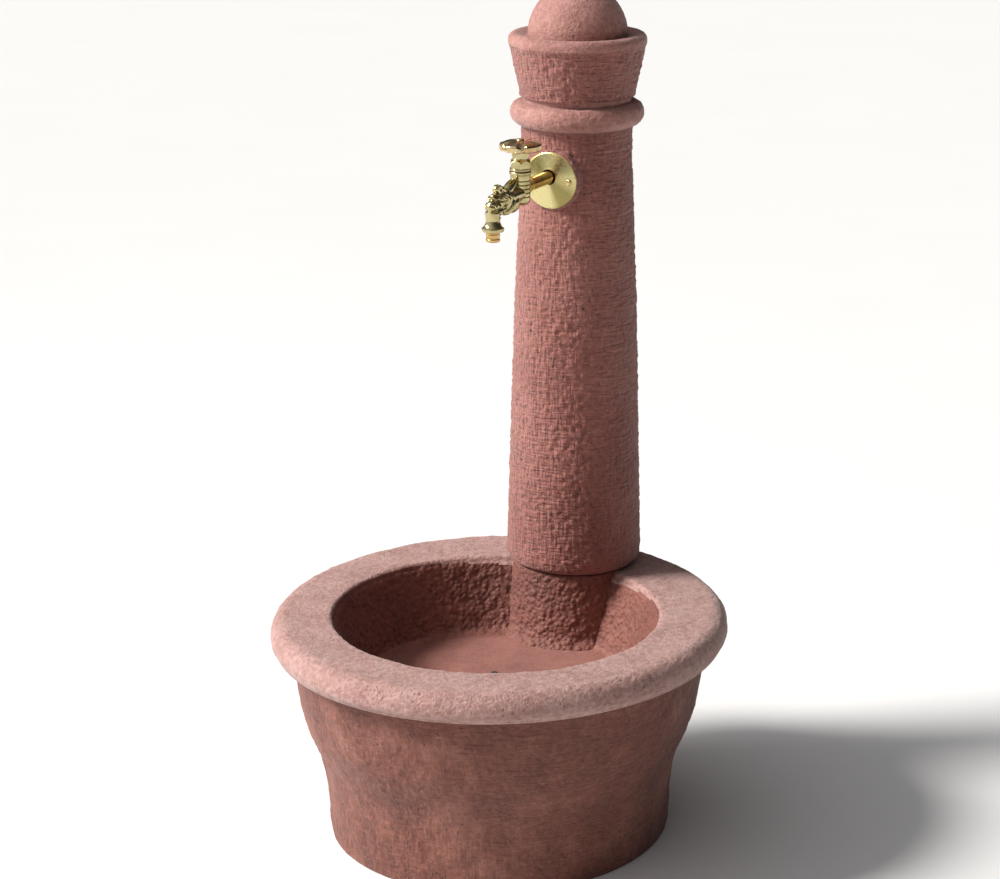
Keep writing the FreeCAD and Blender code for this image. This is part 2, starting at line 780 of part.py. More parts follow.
foot_screws = []
for index in range(4):
    shaft = rod(f"foot_screw_shaft_{index}", "foot_screw_radius", "foot_screw_length",
                foot_screw_place(index, "rim_top - basin_wall"))
    head = rod(f"foot_screw_head_{index}", "foot_screw_head_radius", "foot_screw_head_height",
               foot_screw_place(index, "rim_top - basin_wall - foot_screw_head_height"))
    across, back, slot_foot = foot_screw_place(index, "rim_top - basin_wall - foot_screw_head_height")
    slot = block(f"foot_screw_slot_{index}", "screw_slot_length", "screw_slot_width",
                 "foot_screw_head_height / 2",
                 (f"{across} - screw_slot_length / 2", f"{back} - screw_slot_width / 2", slot_foot))
    foot_screws.append(cut(f"foot_screw_{index}", fuse(f"foot_screw_blank_{index}", shaft, head), slot))
column_screws = group("column_screws", *foot_screws)

# capital
capital_base = neck_top
capital_outside = turned("capital_outside", [
    ("0", "0"),
    ("capital_base_radius", "0", "capital_base_round"),
    ("capital_lip_radius", "capital_flare_height", "capital_flare_round"),
    ("capital_lip_radius", "capital_height", "capital_lip_round"),
    ("capital_lip_inner", "capital_height", "capital_lip_inner_round"),
    ("dish_radius", "dish_height"),
    ("0", "dish_height"),
], on_column(capital_base))
ball = document.addObject("Part::Sphere", "ball")
bind(ball, Radius="ball_radius")
place(ball, on_column(f"{capital_base} + ball_height"))
capital_space = turned("capital_space", [
    ("0", "-spigot_depth - cut_margin"),
    ("capital_base_bore", "-spigot_depth - cut_margin"),
    ("capital_base_bore", "capital_wall"),
    ("capital_base_radius - capital_wall", "capital_wall"),
    ("capital_lip_radius - capital_wall", "capital_flare_height"),
    ("0", "capital_flare_height"),
], on_column(capital_base))
ball_space = document.addObject("Part::Sphere", "ball_space")
bind(ball_space, Radius="ball_radius - capital_wall")
place(ball_space, on_column(f"{capital_base} + ball_height"))
spigot = rod("spigot", "neck_bore - seat_clearance", "spigot_depth",
             on_column(f"{capital_base} - spigot_depth"))
capital = cut("capital", fuse("capital_solid", capital_outside, ball, spigot), capital_space, ball_space)


def ring_circle(name, radius, front, height):
    thing = document.addObject("Part::Circle", name)
    bind(thing, Radius=radius)
    return place(thing, ("0", front, height), TO_FRONT)


# rosette: a disc with a shallow cone whose top lies a little above its centre
rosette_disc = rod("rosette_disc", "rosette_radius", "rosette_edge",
                   on_front("pad_height", "pad_front"), TO_FRONT)
rosette_cone = loft("rosette_cone", [
    ring_circle("rosette_cone_foot", "rosette_radius - rosette_rim_step", "pad_front - rosette_edge",
                "pad_height"),
    ring_circle("rosette_cone_head", "rosette_cone_top", "pad_front - rosette_edge - rosette_cone_height",
                "shank_height")], True)
rosette_face = "pad_front - rosette_edge - rosette_cone_height - cut_margin"
rosette_reach = "rosette_edge + rosette_cone_height + 2 * cut_margin"
rosette_hole = rod("rosette_hole", "rosette_hole_radius", rosette_reach,
                   on_front("shank_height", rosette_face), TO_BACK)
screw_seat = "pad_front - rosette_edge - rosette_screw_seat"
rosette_screw_holes = [rod(f"rosette_screw_hole_{index}", "rosette_screw_radius + screw_clearance",
                           rosette_reach, rosette_screw_place(side, rosette_face), TO_BACK)
                       for index, side in enumerate((-1, 1))]
rosette_screw_seats = [rod(f"rosette_screw_seat_{index}", "rosette_screw_head_radius + screw_clearance",
                           "rosette_cone_height + cut_margin", rosette_screw_place(side, screw_seat),
                           TO_FRONT)
                       for index, side in enumerate((-1, 1))]
rosette = cut("rosette", fuse("rosette_solid", rosette_disc, rosette_cone), rosette_hole,
              *rosette_screw_holes, *rosette_screw_seats)
screw_tip = "pad_back + wall_elbow_plate_thickness + rosette_screw_tip"
screw_length = f"{screw_tip} - ({screw_seat})"
cover_screws = [turned(f"rosette_screw_{index}", [
    ("0", "0"),
    ("rosette_screw_radius", "0"),
    ("rosette_screw_radius", screw_length),
    ("rosette_screw_head_radius", screw_length),
    ("rosette_screw_head_radius", f"{screw_length} + rosette_screw_head_height", "edge_break"),
    ("0", f"{screw_length} + rosette_screw_head_height"),
], rosette_screw_place(side, screw_tip), TO_FRONT) for index, side in enumerate((-1, 1))]
rosette_screws = group("rosette_screws", *cover_screws)

# tap body: valve barrel, shank, and the animal-head spout
barrel_height = "barrel_top - barrel_foot"
barrel = turned("barrel", [
    ("0", "0"),
    ("barrel_radius", "0", "barrel_foot_round"),
    ("barrel_radius", f"{barrel_height} - barrel_ring_height"),
    ("barrel_ring_radius", f"{barrel_height} - barrel_ring_height"),
    ("barrel_ring_radius", barrel_height, "edge_break"),
    ("0", barrel_height),
], on_front("barrel_foot", "valve_front"))
grooves = [tube(f"barrel_groove_{index}", "barrel_ring_radius + cut_margin",
                "barrel_radius - barrel_groove_depth", "barrel_groove_width",
                on_front(f"barrel_foot + barrel_groove_start + {index} * barrel_groove_pitch", "valve_front"))
           for index in range(int(number("barrel_grooves")))]
shank = turned("shank", [
    ("0", "0"),
    ("shank_thread_radius", "0", "edge_break"),
    ("shank_thread_radius", "shank_end - shank_thread_start"),
    ("shank_neck_radius", "shank_end - shank_thread_start"),
    ("shank_root_radius", "shank_end - valve_front - barrel_radius - shank_root_length"),
    ("shank_root_radius", "shank_end - valve_front"),
    ("0", "shank_end - valve_front"),
], on_front("shank_height", "shank_end"), TO_FRONT)
bridge = rod("bridge", "bridge_radius", "valve_front - head_front",
             on_front("head_height", "valve_front"), TO_FRONT)
skull = egg("skull", "head_length", "head_half_width", "head_half_height",
            on_front("head_height", "head_front"))
snout = egg("snout", "snout_length", "snout_half_width", "snout_half_height",
            on_front("snout_height", "snout_front"), "snout_pitch")
throat = document.addObject("Part::Sphere", "throat")
bind(throat, Radius="throat_radius")
place(throat, on_front("throat_height", "throat_front"))
crest = egg("crest", "crest_length", "crest_half_width", "crest_half_height",
            on_front("crest_height", "crest_front"), "crest_pitch")
crest_root = egg("crest_root", "crest_length", "crest_half_width", "crest_root_half_height",
                 on_front("crest_height - crest_root_drop", "crest_front + crest_root_back"),
                 "crest_root_pitch")
spout_neck = cone("spout_neck", "collar_top_radius", "neck_top_radius", "neck_top - collar_top",
                  on_front("collar_top", "spout_front"))
collar = turned("collar", [
    ("0", "0"),
    ("collar_foot_radius", "0", "edge_break"),
    ("collar_radius", "collar_widest - collar_bottom", "edge_break"),
    ("collar_top_radius", "collar_top - collar_bottom"),
    ("0", "collar_top - collar_bottom"),
], on_front("collar_bottom", "spout_front"))
body_solid = fuse("tap_body_solid", cut("ringed_barrel", barrel, *grooves), shank, bridge, skull, snout,
                  throat, crest, crest_root, spout_neck, collar)
chamber = turned("valve_chamber", [
    ("0", "0"),
    ("valve_chamber_radius", "0"),
    ("valve_chamber_radius", "barrel_top - seat_height - bonnet_thread_length"),
    ("bonnet_thread_radius + thread_clearance", "barrel_top - seat_height - bonnet_thread_length"),
    ("bonnet_thread_radius + thread_clearance", "barrel_top - seat_height + cut_margin"),
    ("0", "barrel_top - seat_height + cut_margin"),
], on_front("seat_height", "valve_front"))
seat_hole = rod("seat_hole", "seat_bore", "seat_thickness + 2 * cut_margin",
                on_front("seat_height - seat_thickness - cut_margin", "valve_front"))
lower_chamber = rod("lower_chamber", "lower_chamber_radius",
                    "seat_height - seat_thickness - lower_chamber_floor",
                    on_front("lower_chamber_floor", "valve_front"))
inlet_bore = rod("shank_bore", "water_bore", "shank_end - valve_front + cut_margin",
                 on_front("shank_height - water_bore_drop", "shank_end + cut_margin"), TO_FRONT)
outlet_start = V(0, number("valve_front - valve_chamber_radius + outlet_inset"),
                 number("seat_height + outlet_rise"))
outlet_turn = V(0, number("spout_front"), number("neck_top + outlet_turn_rise"))
outlet_run = outlet_turn - outlet_start
slanted_bore = document.addObject("Part::Cylinder", "slanted_bore")
bind(slanted_bore, Radius="outlet_bore")
slanted_bore.Height = outlet_run.Length
slanted_bore.Placement = FreeCAD.Placement(outlet_start, FreeCAD.Rotation(V(0, 0, 1), outlet_run))
bore_bend = document.addObject("Part::Sphere", "bore_bend")
bind(bore_bend, Radius="outlet_bore")
place(bore_bend, on_front("neck_top + outlet_turn_rise", "spout_front"))
down_bore = rod("down_bore", "outlet_bore", "neck_top + outlet_turn_rise - collar_bottom + cut_margin",
                on_front("collar_bottom - cut_margin", "spout_front"))
nozzle_socket = rod("nozzle_socket", "nozzle_thread_radius + thread_clearance",
                    "nozzle_thread_length + nozzle_washer_thickness + cut_margin",
                    on_front("collar_bottom - cut_margin", "spout_front"))
tap_body = cut("tap_body", body_solid, chamber, seat_hole, lower_chamber, inlet_bore, slanted_bore,
               bore_bend, down_bore, nozzle_socket)
outlet_nozzle = turned("outlet_nozzle", [
    ("nozzle_bore", "0"),
    ("nozzle_radius", "0", "edge_break"),
    ("nozzle_radius", "collar_bottom - nozzle_end"),
    ("nozzle_thread_radius", "collar_bottom - nozzle_end"),
    ("nozzle_thread_radius", "collar_bottom - nozzle_end + nozzle_thread_length"),
    ("nozzle_bore", "collar_bottom - nozzle_end + nozzle_thread_length"),
], on_front("nozzle_end", "spout_front"))
nozzle_washer = tube("nozzle_washer", "nozzle_thread_radius - washer_clearance",
                     "outlet_bore + washer_clearance", "nozzle_washer_thickness",
                     on_front("collar_bottom + nozzle_thread_length", "spout_front"))

# bonnet, gland and spindle, closed at rest
bonnet_foot = "barrel_top + bonnet_seal_thickness"
bonnet_bottom = "barrel_top - bonnet_thread_length + thread_end_gap"
bonnet_top = f"{bonnet_foot} + bonnet_head_height"
spindle_foot = "seat_height + washer_thickness + jumper_thickness"
spindle_thread_top = f"{spindle_foot} + spindle_thread_length"
ledge = f"{spindle_thread_top} + valve_travel + ledge_gap"
packing_foot = f"{ledge} + bonnet_ledge_thickness"
bonnet = turned("bonnet", [
    ("spindle_thread_radius + running_clearance", "0"),
    ("bonnet_thread_radius", "0"),
    ("bonnet_thread_radius", f"{bonnet_foot} - ({bonnet_bottom})"),
    ("bonnet_flange_radius", f"{bonnet_foot} - ({bonnet_bottom})", "edge_break"),
    ("bonnet_flange_radius", f"{bonnet_foot} + bonnet_flange_height - ({bonnet_bottom})",
     "bonnet_bell_round"),
    ("bonnet_head_radius", f"{bonnet_top} - bonnet_straight - ({bonnet_bottom})"),
    ("bonnet_head_radius", f"{bonnet_top} - ({bonnet_bottom})"),
    ("packing_radius + thread_clearance", f"{bonnet_top} - ({bonnet_bottom})"),
    ("packing_radius + thread_clearance", f"{packing_foot} - ({bonnet_bottom})"),
    ("spindle_radius + running_clearance", f"{packing_foot} - ({bonnet_bottom})"),
    ("spindle_radius + running_clearance", f"{ledge} - ({bonnet_bottom})"),
    ("spindle_thread_radius + running_clearance", f"{ledge} - ({bonnet_bottom})"),
], on_front(bonnet_bottom, "valve_front"))
bonnet_seal = tube("bonnet_seal", "bonnet_flange_radius - 2 * washer_clearance",
                   "bonnet_thread_radius + washer_clearance", "bonnet_seal_thickness",
                   on_front("barrel_top", "valve_front"))
gland_packing = tube("gland_packing", "packing_radius", "spindle_radius + running_clearance",
                     "packing_height", on_front(packing_foot, "valve_front"))
gland_foot = f"{packing_foot} + packing_height"
gland_blank = fuse("gland_blank",
                   hexagon("gland_hex", "gland_hex_radius",
                           f"knob_underside - gland_knob_gap - ({bonnet_top})",
                           on_front(bonnet_top, "valve_front")),
                   rod("gland_skirt", "packing_radius", f"{bonnet_top} - ({gland_foot}) + cut_margin",
                       on_front(gland_foot, "valve_front")))
gland_nut = cut("gland_nut", gland_blank, rod("gland_bore", "spindle_radius + 3 * running_clearance",
                                              f"knob_underside - ({gland_foot}) + cut_margin",
                                              on_front(f"{gland_foot} - cut_margin", "valve_front")))
spindle_height = f"spindle_top - ({spindle_foot})"
spindle = turned("spindle", [
    ("jumper_stem_radius + running_clearance", "0"),
    ("spindle_thread_radius", "0", "edge_break"),
    ("spindle_thread_radius", "spindle_thread_length"),
    ("spindle_radius", "spindle_thread_length + spindle_step"),
    ("spindle_radius", spindle_height),
    ("knob_screw_radius", spindle_height),
    ("knob_screw_radius", f"{spindle_height} - knob_screw_length - cut_margin"),
    ("0", f"{spindle_height} - knob_screw_length - cut_margin"),
    ("0", "jumper_stem_length + cut_margin"),
    ("jumper_stem_radius + running_clearance", "jumper_stem_length + cut_margin"),
], on_front(spindle_foot, "valve_front"))
seat_washer = tube("seat_washer", "washer_radius", "jumper_screw_radius + jumper_screw_clearance",
                   "washer_thickness", on_front("seat_height", "valve_front"))
jumper_valve = turned("jumper_valve", [
    ("0", "-washer_thickness - washer_nut_height"),
    ("jumper_screw_radius", "-washer_thickness - washer_nut_height"),
    ("jumper_screw_radius", "0"),
    ("jumper_radius", "0", "edge_break / 2"),
    ("jumper_radius", "jumper_thickness", "edge_break / 2"),
    ("jumper_stem_radius", "jumper_thickness"),
    ("jumper_stem_radius", "jumper_thickness + jumper_stem_length", "edge_break"),
    ("0", "jumper_thickness + jumper_stem_length"),
], on_front("seat_height + washer_thickness", "valve_front"))
washer_nut = cut("washer_nut",
                 hexagon("washer_nut_blank", "washer_nut_radius", "washer_nut_height",
                         on_front("seat_height - washer_nut_height", "valve_front")),
                 rod("washer_nut_bore", "jumper_screw_radius + jumper_screw_clearance",
                     "washer_nut_height + 2 * cut_margin",
                     on_front("seat_height - washer_nut_height - cut_margin", "valve_front")))

# hand wheel: a domed disc with scalloped lobes
knob_dome = turned("knob_dome", [
    ("0", "0"),
    ("knob_radius", "0", "knob_edge_round"),
    ("knob_radius", "knob_height - knob_crown", "knob_edge_round"),
    ("knob_hub_radius", "knob_height"),
    ("knob_hub_radius", "spindle_top - knob_underside + knob_screw_seat", "edge_break"),
    ("0", "spindle_top - knob_underside + knob_screw_seat"),
], on_front("knob_underside", "valve_front"))
scallops = []
for index in range(int(number("knob_lobes"))):
    angle = f"{index} * 360 / knob_lobes * 1deg"
    scallops.append(rod(f"scallop_{index}", "knob_scallop_radius", "knob_height + 2 * cut_margin",
                        (f"knob_scallop_circle * cos({angle})",
                         f"valve_front + knob_scallop_circle * sin({angle})", "knob_underside - cut_margin")))
knob_bore = turned("knob_bore", [
    ("0", "-cut_margin"),
    ("spindle_radius + knob_fit", "-cut_margin"),
    ("spindle_radius + knob_fit", "spindle_top - knob_underside"),
    ("knob_screw_radius + screw_clearance", "spindle_top - knob_underside"),
    ("knob_screw_radius + screw_clearance", "spindle_top - knob_underside + knob_screw_seat + cut_margin"),
    ("0", "spindle_top - knob_underside + knob_screw_seat + cut_margin"),
], on_front("knob_underside", "valve_front"))
knob = cut("knob", knob_dome, knob_bore, *scallops)
knob_screw = turned("knob_screw", [
    ("0", "-knob_screw_length"),
    ("knob_screw_radius - knob_fit", "-knob_screw_length"),
    ("knob_screw_radius - knob_fit", "0"),
    ("knob_screw_head_radius", "0"),
    ("knob_screw_head_radius", "knob_screw_head_height", "knob_screw_head_round"),
    ("0", "knob_screw_head_height"),
], on_front("spindle_top + knob_screw_seat", "valve_front"))

# bowl waste: flanged tail, gasket, nut and stopper
drain_top = "bowl_floor + drain_flange_thickness"
drain_body = turned("drain_body", [
    ("drain_bore", "-drain_length"),
    ("drain_tail_radius", "-drain_length", "edge_break"),
    ("drain_tail_radius", "-drain_thread_length"),
    ("drain_thread_radius", "-drain_thread_length"),
    ("drain_thread_radius", "0"),
    ("drain_flange_radius", "0"),
    ("drain_flange_radius", "drain_flange_thickness", "drain_flange_round"),
    ("drain_recess_radius", "drain_flange_thickness"),
    ("drain_recess_radius", "-plug_head_thickness + drain_flange_thickness"),
    ("drain_bore", "-plug_head_thickness + drain_flange_thickness"),
], ("0", "drain_front", "bowl_floor"))
drain_gasket = tube("drain_gasket", "drain_flange_radius", "drain_thread_radius + seat_clearance",
                    "drain_gasket_thickness",
                    ("0", "drain_front", "bowl_floor - basin_wall - drain_gasket_thickness"))
drain_nut = cut("drain_nut", hexagon("drain_nut_blank", "drain_nut_radius", "drain_nut_height",
                                     ("0", "drain_front",
                                      "bowl_floor - basin_wall - drain_gasket_thickness - drain_nut_height")),
                rod("drain_nut_bore", "drain_thread_radius + thread_clearance", "drain_length",
                    ("0", "drain_front", "bowl_floor - drain_length")))
drain_plug = turned("drain_plug", [
    ("0", "-plug_depth"),
    ("plug_foot_radius", "-plug_depth", "edge_break"),
    ("plug_radius", "0"),
    ("plug_head_radius", "0"),
    ("plug_head_radius", "plug_head_thickness", "edge_break"),
    ("plug_grip_waist", "plug_head_thickness"),
    ("plug_grip_radius", "plug_grip_height", "edge_break"),
    ("0", "plug_grip_height"),
], ("0", "drain_front", f"{drain_top} - plug_head_thickness"))

# inlet: bulkhead connector through the skirt, with an elbow inside
flange_back = "inlet_pad_back + inlet_gasket_thickness + inlet_flange_thickness"
inlet_connector = turned("inlet_connector", [
    ("inlet_bore", "-inlet_thread_length"),
    ("inlet_radius", "-inlet_thread_length", "edge_break"),
    ("inlet_radius", "0"),
    ("inlet_flange_radius", "0", "edge_break"),
    ("inlet_flange_radius", "inlet_flange_thickness"),
    ("inlet_radius", "inlet_flange_thickness"),
    ("inlet_radius", "inlet_flange_thickness + inlet_tail_length", "edge_break"),
    ("inlet_bore", "inlet_flange_thickness + inlet_tail_length"),
], ("0", flange_back, "inlet_height"), TO_FRONT)
inlet_gasket = tube("inlet_gasket", "inlet_flange_radius", "inlet_radius + seat_clearance",
                    "inlet_gasket_thickness", ("0", "inlet_pad_back", "inlet_height"), TO_BACK)
inlet_nut = cut("inlet_nut", hexagon("inlet_nut_blank", "inlet_nut_radius", "inlet_nut_height",
                                     ("0", "inlet_pad_front", "inlet_height"), TO_FRONT),
                rod("inlet_nut_bore", "inlet_radius + thread_clearance", "inlet_nut_height + 2 * cut_margin",
                    ("0", "inlet_pad_front + cut_margin", "inlet_height"), TO_FRONT))
tail_tip = f"{flange_back} - inlet_flange_thickness - inlet_tail_length"
elbow_top = "inlet_height + elbow_radius + inlet_elbow_rise"
BARBS = 3


def hose_tail(name, length, position, turn=None):
    # a hose tail with raised barbs
    corners = [("0", "0"), ("tail_radius", "0")]
    for index in range(BARBS):
        start = f"{length} * {(index + 1) / (BARBS + 1):.3f}"
        corners += [("tail_radius", start), ("tail_radius + tail_barb", start),
                    ("tail_radius", f"{start} + tail_barb_length")]
    corners += [("tail_radius", length), ("0", length)]
    return turned(name, corners, position, turn)


inlet_socket = rod("inlet_socket", "elbow_radius", f"({tail_tip}) + inlet_socket_depth - riser_back",
                   ("0", f"({tail_tip}) + inlet_socket_depth", "inlet_height"), TO_FRONT)
inlet_knuckle = document.addObject("Part::Sphere", "inlet_knuckle")
bind(inlet_knuckle, Radius="elbow_radius")
place(inlet_knuckle, ("0", "riser_back", "inlet_height"))
inlet_riser = rod("inlet_riser", "elbow_neck_radius",
                  "elbow_radius + inlet_elbow_rise - tail_length + tail_root",
                  ("0", "riser_back", "inlet_height"))
lower_tail = hose_tail("lower_tail", "tail_length", ("0", "riser_back", f"{elbow_top} - tail_length"))
inlet_elbow = cut("inlet_elbow",
                  fuse("inlet_elbow_solid", inlet_socket, inlet_knuckle, inlet_riser, lower_tail),
                  rod("inlet_socket_bore", "inlet_radius + thread_clearance",
                      "inlet_socket_depth + cut_margin", ("0", tail_tip, "inlet_height"), TO_BACK),
                  rod("inlet_elbow_bore", "elbow_bore", f"({tail_tip}) - riser_back + cut_margin",
                      ("0", f"({tail_tip}) + cut_margin", "inlet_height"), TO_FRONT),
                  rod("lower_tail_bore", "tail_bore", "elbow_radius + inlet_elbow_rise + cut_margin",
                      ("0", "riser_back", "inlet_height")))
wall_plate = block("wall_plate", "wall_elbow_plate_width", "wall_elbow_plate_thickness",
                   "wall_elbow_plate_height",
                   ("-wall_elbow_plate_width / 2", "pad_back", "pad_height - wall_elbow_plate_height / 2"))
wall_socket = rod("wall_socket", "wall_elbow_radius", "riser_back - pad_back",
                  on_front("shank_height", "pad_back"), TO_BACK)
wall_knuckle = document.addObject("Part::Sphere", "wall_knuckle")
bind(wall_knuckle, Radius="wall_elbow_radius")
place(wall_knuckle, on_front("shank_height", "riser_back"))
wall_drop = rod("wall_drop", "elbow_neck_radius", "wall_elbow_drop",
                on_front("shank_height", "riser_back"), DOWN)
upper_tail = hose_tail("upper_tail", "tail_length",
                       on_front("shank_height - wall_elbow_drop", "riser_back"), DOWN)
upper_tip = "shank_height - wall_elbow_drop - tail_length"
wall_elbow = cut("wall_elbow",
                 fuse("wall_elbow_solid", wall_plate, wall_socket, wall_knuckle, wall_drop, upper_tail),
                 rod("wall_socket_bore", "shank_thread_radius + thread_clearance",
                     "shank_end + shank_seal_thickness - pad_back + cut_margin",
                     on_front("shank_height", "pad_back - cut_margin"), TO_BACK),
                 rod("wall_elbow_bore", "water_bore", "riser_back - shank_end",
                     on_front("shank_height", "riser_back"), TO_FRONT),
                 rod("upper_tail_bore", "tail_bore", "wall_elbow_drop + tail_length + cut_margin",
                     on_front("shank_height", "riser_back"), DOWN),
                 *[rod(f"plate_hole_{index}", "rosette_screw_radius + thread_clearance",
                       "wall_elbow_plate_thickness + 2 * cut_margin",
                       rosette_screw_place(side, "pad_back - cut_margin"), TO_BACK)
                   for index, side in enumerate((-1, 1))])
shank_seal = tube("shank_seal", "shank_thread_radius - washer_clearance", "water_bore + washer_clearance",
                  "shank_seal_thickness", on_front("shank_height", "shank_end"), TO_BACK)
hose_foot = f"{elbow_top} - tail_length + hose_end_gap"
hose_head = f"{upper_tip} + tail_length - hose_end_gap"
riser_hose = tube("riser_hose", "hose_bore + hose_wall", "hose_bore", f"{hose_head} - ({hose_foot})",
                  ("0", "riser_back", hose_foot))


def hose_clamp(name, height):
    # a band round the hose with a screw barrel at its side
    band = tube(f"{name}_band", "hose_bore + hose_wall + clamp_clearance + clamp_thickness",
                "hose_bore + hose_wall + clamp_clearance", "clamp_width", ("0", "riser_back", height))
    barrel = rod(f"{name}_screw", "clamp_screw_radius", "clamp_screw_length",
                 ("hose_bore + hose_wall + clamp_thickness + clamp_screw_radius - clamp_screw_inset",
                  "riser_back + clamp_screw_length / 2", f"{height} + clamp_width / 2"), TO_FRONT)
    return fuse(name, band, barrel)


hose_clamps = group("hose_clamps",
                    hose_clamp("lower_clamp", f"({hose_foot}) + (tail_length - clamp_width) / 2"),
                    hose_clamp("upper_clamp", f"({hose_head}) - (tail_length + clamp_width) / 2"))

document.recompute()
nodes = [basin, column, column_screws, capital, rosette, rosette_screws, tap_body, outlet_nozzle,
         nozzle_washer, bonnet, bonnet_seal, gland_packing, gland_nut, spindle, seat_washer, jumper_valve,
         washer_nut, knob, knob_screw, drain_body, drain_gasket, drain_nut, drain_plug, inlet_connector,
         inlet_gasket, inlet_nut, inlet_elbow, wall_elbow, shank_seal, riser_hose, hose_clamps]

failed = [thing.Name for thing in document.Objects if {"Invalid", "Error"} & set(thing.State)]
for node in nodes:
    if node.Shape.isNull() or not node.Shape.isValid() or not node.Shape.Solids:
        failed.append(node.Name)
if failed:
    raise SystemExit("failed: " + ", ".join(failed))

os.makedirs("parts", exist_ok=True)
for node in nodes:
    node.Label = node.Name
    node.Shape.exportStep(f"parts/{node.Label}.step")
    print(f"{node.Label}: {len(node.Shape.Solids)} solids, {node.Shape.Volume / 1000:.2f} cm3")
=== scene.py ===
import bpy
import math
import numpy as np
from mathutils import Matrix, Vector


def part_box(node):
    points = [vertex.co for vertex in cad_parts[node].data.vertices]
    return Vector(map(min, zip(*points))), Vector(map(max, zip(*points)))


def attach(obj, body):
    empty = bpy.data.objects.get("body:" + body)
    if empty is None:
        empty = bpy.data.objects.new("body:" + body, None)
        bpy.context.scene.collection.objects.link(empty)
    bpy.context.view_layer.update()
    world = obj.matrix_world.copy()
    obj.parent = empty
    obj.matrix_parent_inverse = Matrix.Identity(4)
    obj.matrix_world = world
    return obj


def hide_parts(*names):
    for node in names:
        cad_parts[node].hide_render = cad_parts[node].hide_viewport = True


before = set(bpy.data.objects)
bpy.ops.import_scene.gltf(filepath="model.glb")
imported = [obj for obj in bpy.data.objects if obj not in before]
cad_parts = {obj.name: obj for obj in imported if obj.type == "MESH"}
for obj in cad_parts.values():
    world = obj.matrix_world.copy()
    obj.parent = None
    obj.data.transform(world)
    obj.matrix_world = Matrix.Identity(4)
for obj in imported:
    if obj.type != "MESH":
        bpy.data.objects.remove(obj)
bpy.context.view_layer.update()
mm = 0.001
weld = 0.01 * mm        # points closer than this become one
print("frame loaded")

# shared places, in millimetres like all sizes of the pieces
columnLow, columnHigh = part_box("column")
columnX = (columnLow.x + columnHigh.x) / 2 / mm
columnY = (columnHigh.y - (columnHigh.x - columnLow.x) / 2) / mm
rimTop = columnLow.z / mm
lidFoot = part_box("capital")[0].z / mm
shankHeight = 715.4        # the tap's shank and the holes for it
tapHeight = 711        # middle of the tap's head, its pad and its rosette


# selecting, shaping and finishing

def makeActive(piece):
    bpy.ops.object.select_all(action="DESELECT")
    piece.select_set(True)
    bpy.context.view_layer.objects.active = piece


def addObject(operator, **options):        # with nothing else selected
    bpy.ops.object.select_all(action="DESELECT")
    operator(**options)
    return bpy.context.object


def modify(piece, kind, **settings):        # adds a modifier, sets it and applies it
    modifier = piece.modifiers.new(kind, kind)
    for name, value in settings.items():
        setattr(modifier, name, value)
    makeActive(piece)
    bpy.ops.object.modifier_apply(modifier=modifier.name)


def settle(piece):        # puts a piece's place, turn and size into its mesh
    makeActive(piece)
    bpy.ops.object.transform_apply(location=True, rotation=True, scale=True)
    return piece


def putDown(piece, place, tilt):        # tilts a piece about X and moves it to its place
    piece.rotation_euler = (math.radians(tilt), 0, 0)
    piece.location = [along * mm for along in place]
    return settle(piece)


def smoothShade(piece, angle=None):
    makeActive(piece)
    if angle is None:
        bpy.ops.object.shade_smooth()
    else:
        bpy.ops.object.shade_smooth_by_angle(angle=math.radians(angle))
    return piece


def joinPieces(name, pieces):
    makeActive(pieces[0])
    for piece in pieces:
        piece.select_set(True)
    bpy.ops.object.join()
    pieces[0].name = name
    pieces[0].data.name = name
    return pieces[0]


def finishPiece(piece, body, nodes, material):
    if not piece.data.materials:
        piece.data.materials.append(material)
    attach(piece, body)
    if nodes:
        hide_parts(*nodes)
    return piece


def vertexArray(piece):
    places = np.empty(len(piece.data.vertices) * 3, np.float32)
    piece.data.vertices.foreach_get("co", places)
    return places.reshape(-1, 3).astype(float) / mm


def setVertices(piece, places):
    piece.data.vertices.foreach_set("co", (places * mm).astype(np.float32).ravel())
    piece.data.update()


def reachFrom(places, x=0, y=0):        # how far each vertex is from an upright axis
    return np.hypot(places[:, 0] - x, places[:, 1] - y)


def smoothStep(low, high, value):
    share = np.clip((value - low) / (high - low), 0, 1)
    return share * share * (3 - 2 * share)


# outlines are (radius, height) or (radius, height, rounding) corners

def roundedOutline(corners, step, closed=False):
    points = [Vector((c[0], c[1])) for c in corners]
    count = len(corners)
    outline = []
    for index, corner in enumerate(corners):
        here = points[index]
        inner = closed or 0 < index < count - 1
        if len(corner) == 3 and inner and corner[2] > 0:
            toBefore = (points[index - 1] - here).normalized()
            toAfter = (points[(index + 1) % count] - here).normalized()
            half = toBefore.angle(toAfter) / 2
            reach = corner[2] / math.tan(half)
            middle = (toBefore + toAfter).normalized()
            centre = here + middle * (corner[2] / math.sin(half))
            start = here + toBefore * reach - centre
            end = here + toAfter * reach - centre
            turn = start.angle_signed(end)
            pieces = max(3, int(abs(turn) * corner[2] / step))
            for part in range(pieces + 1):
                angle = -turn * part / pieces
                spun = Vector((start.x * math.cos(angle) - start.y * math.sin(angle),
                               start.x * math.sin(angle) + start.y * math.cos(angle)))
                outline.append(centre + spun)
        else:
            outline.append(here)
    if closed:
        outline.append(outline[0])
    fine = [outline[0]]
    for before, after in zip(outline, outline[1:]):
        parts = max(1, math.ceil((after - before).length / step))
        fine += [before.lerp(after, part / parts) for part in range(1, parts + 1)]
    if closed:
        fine.pop()
    return fine


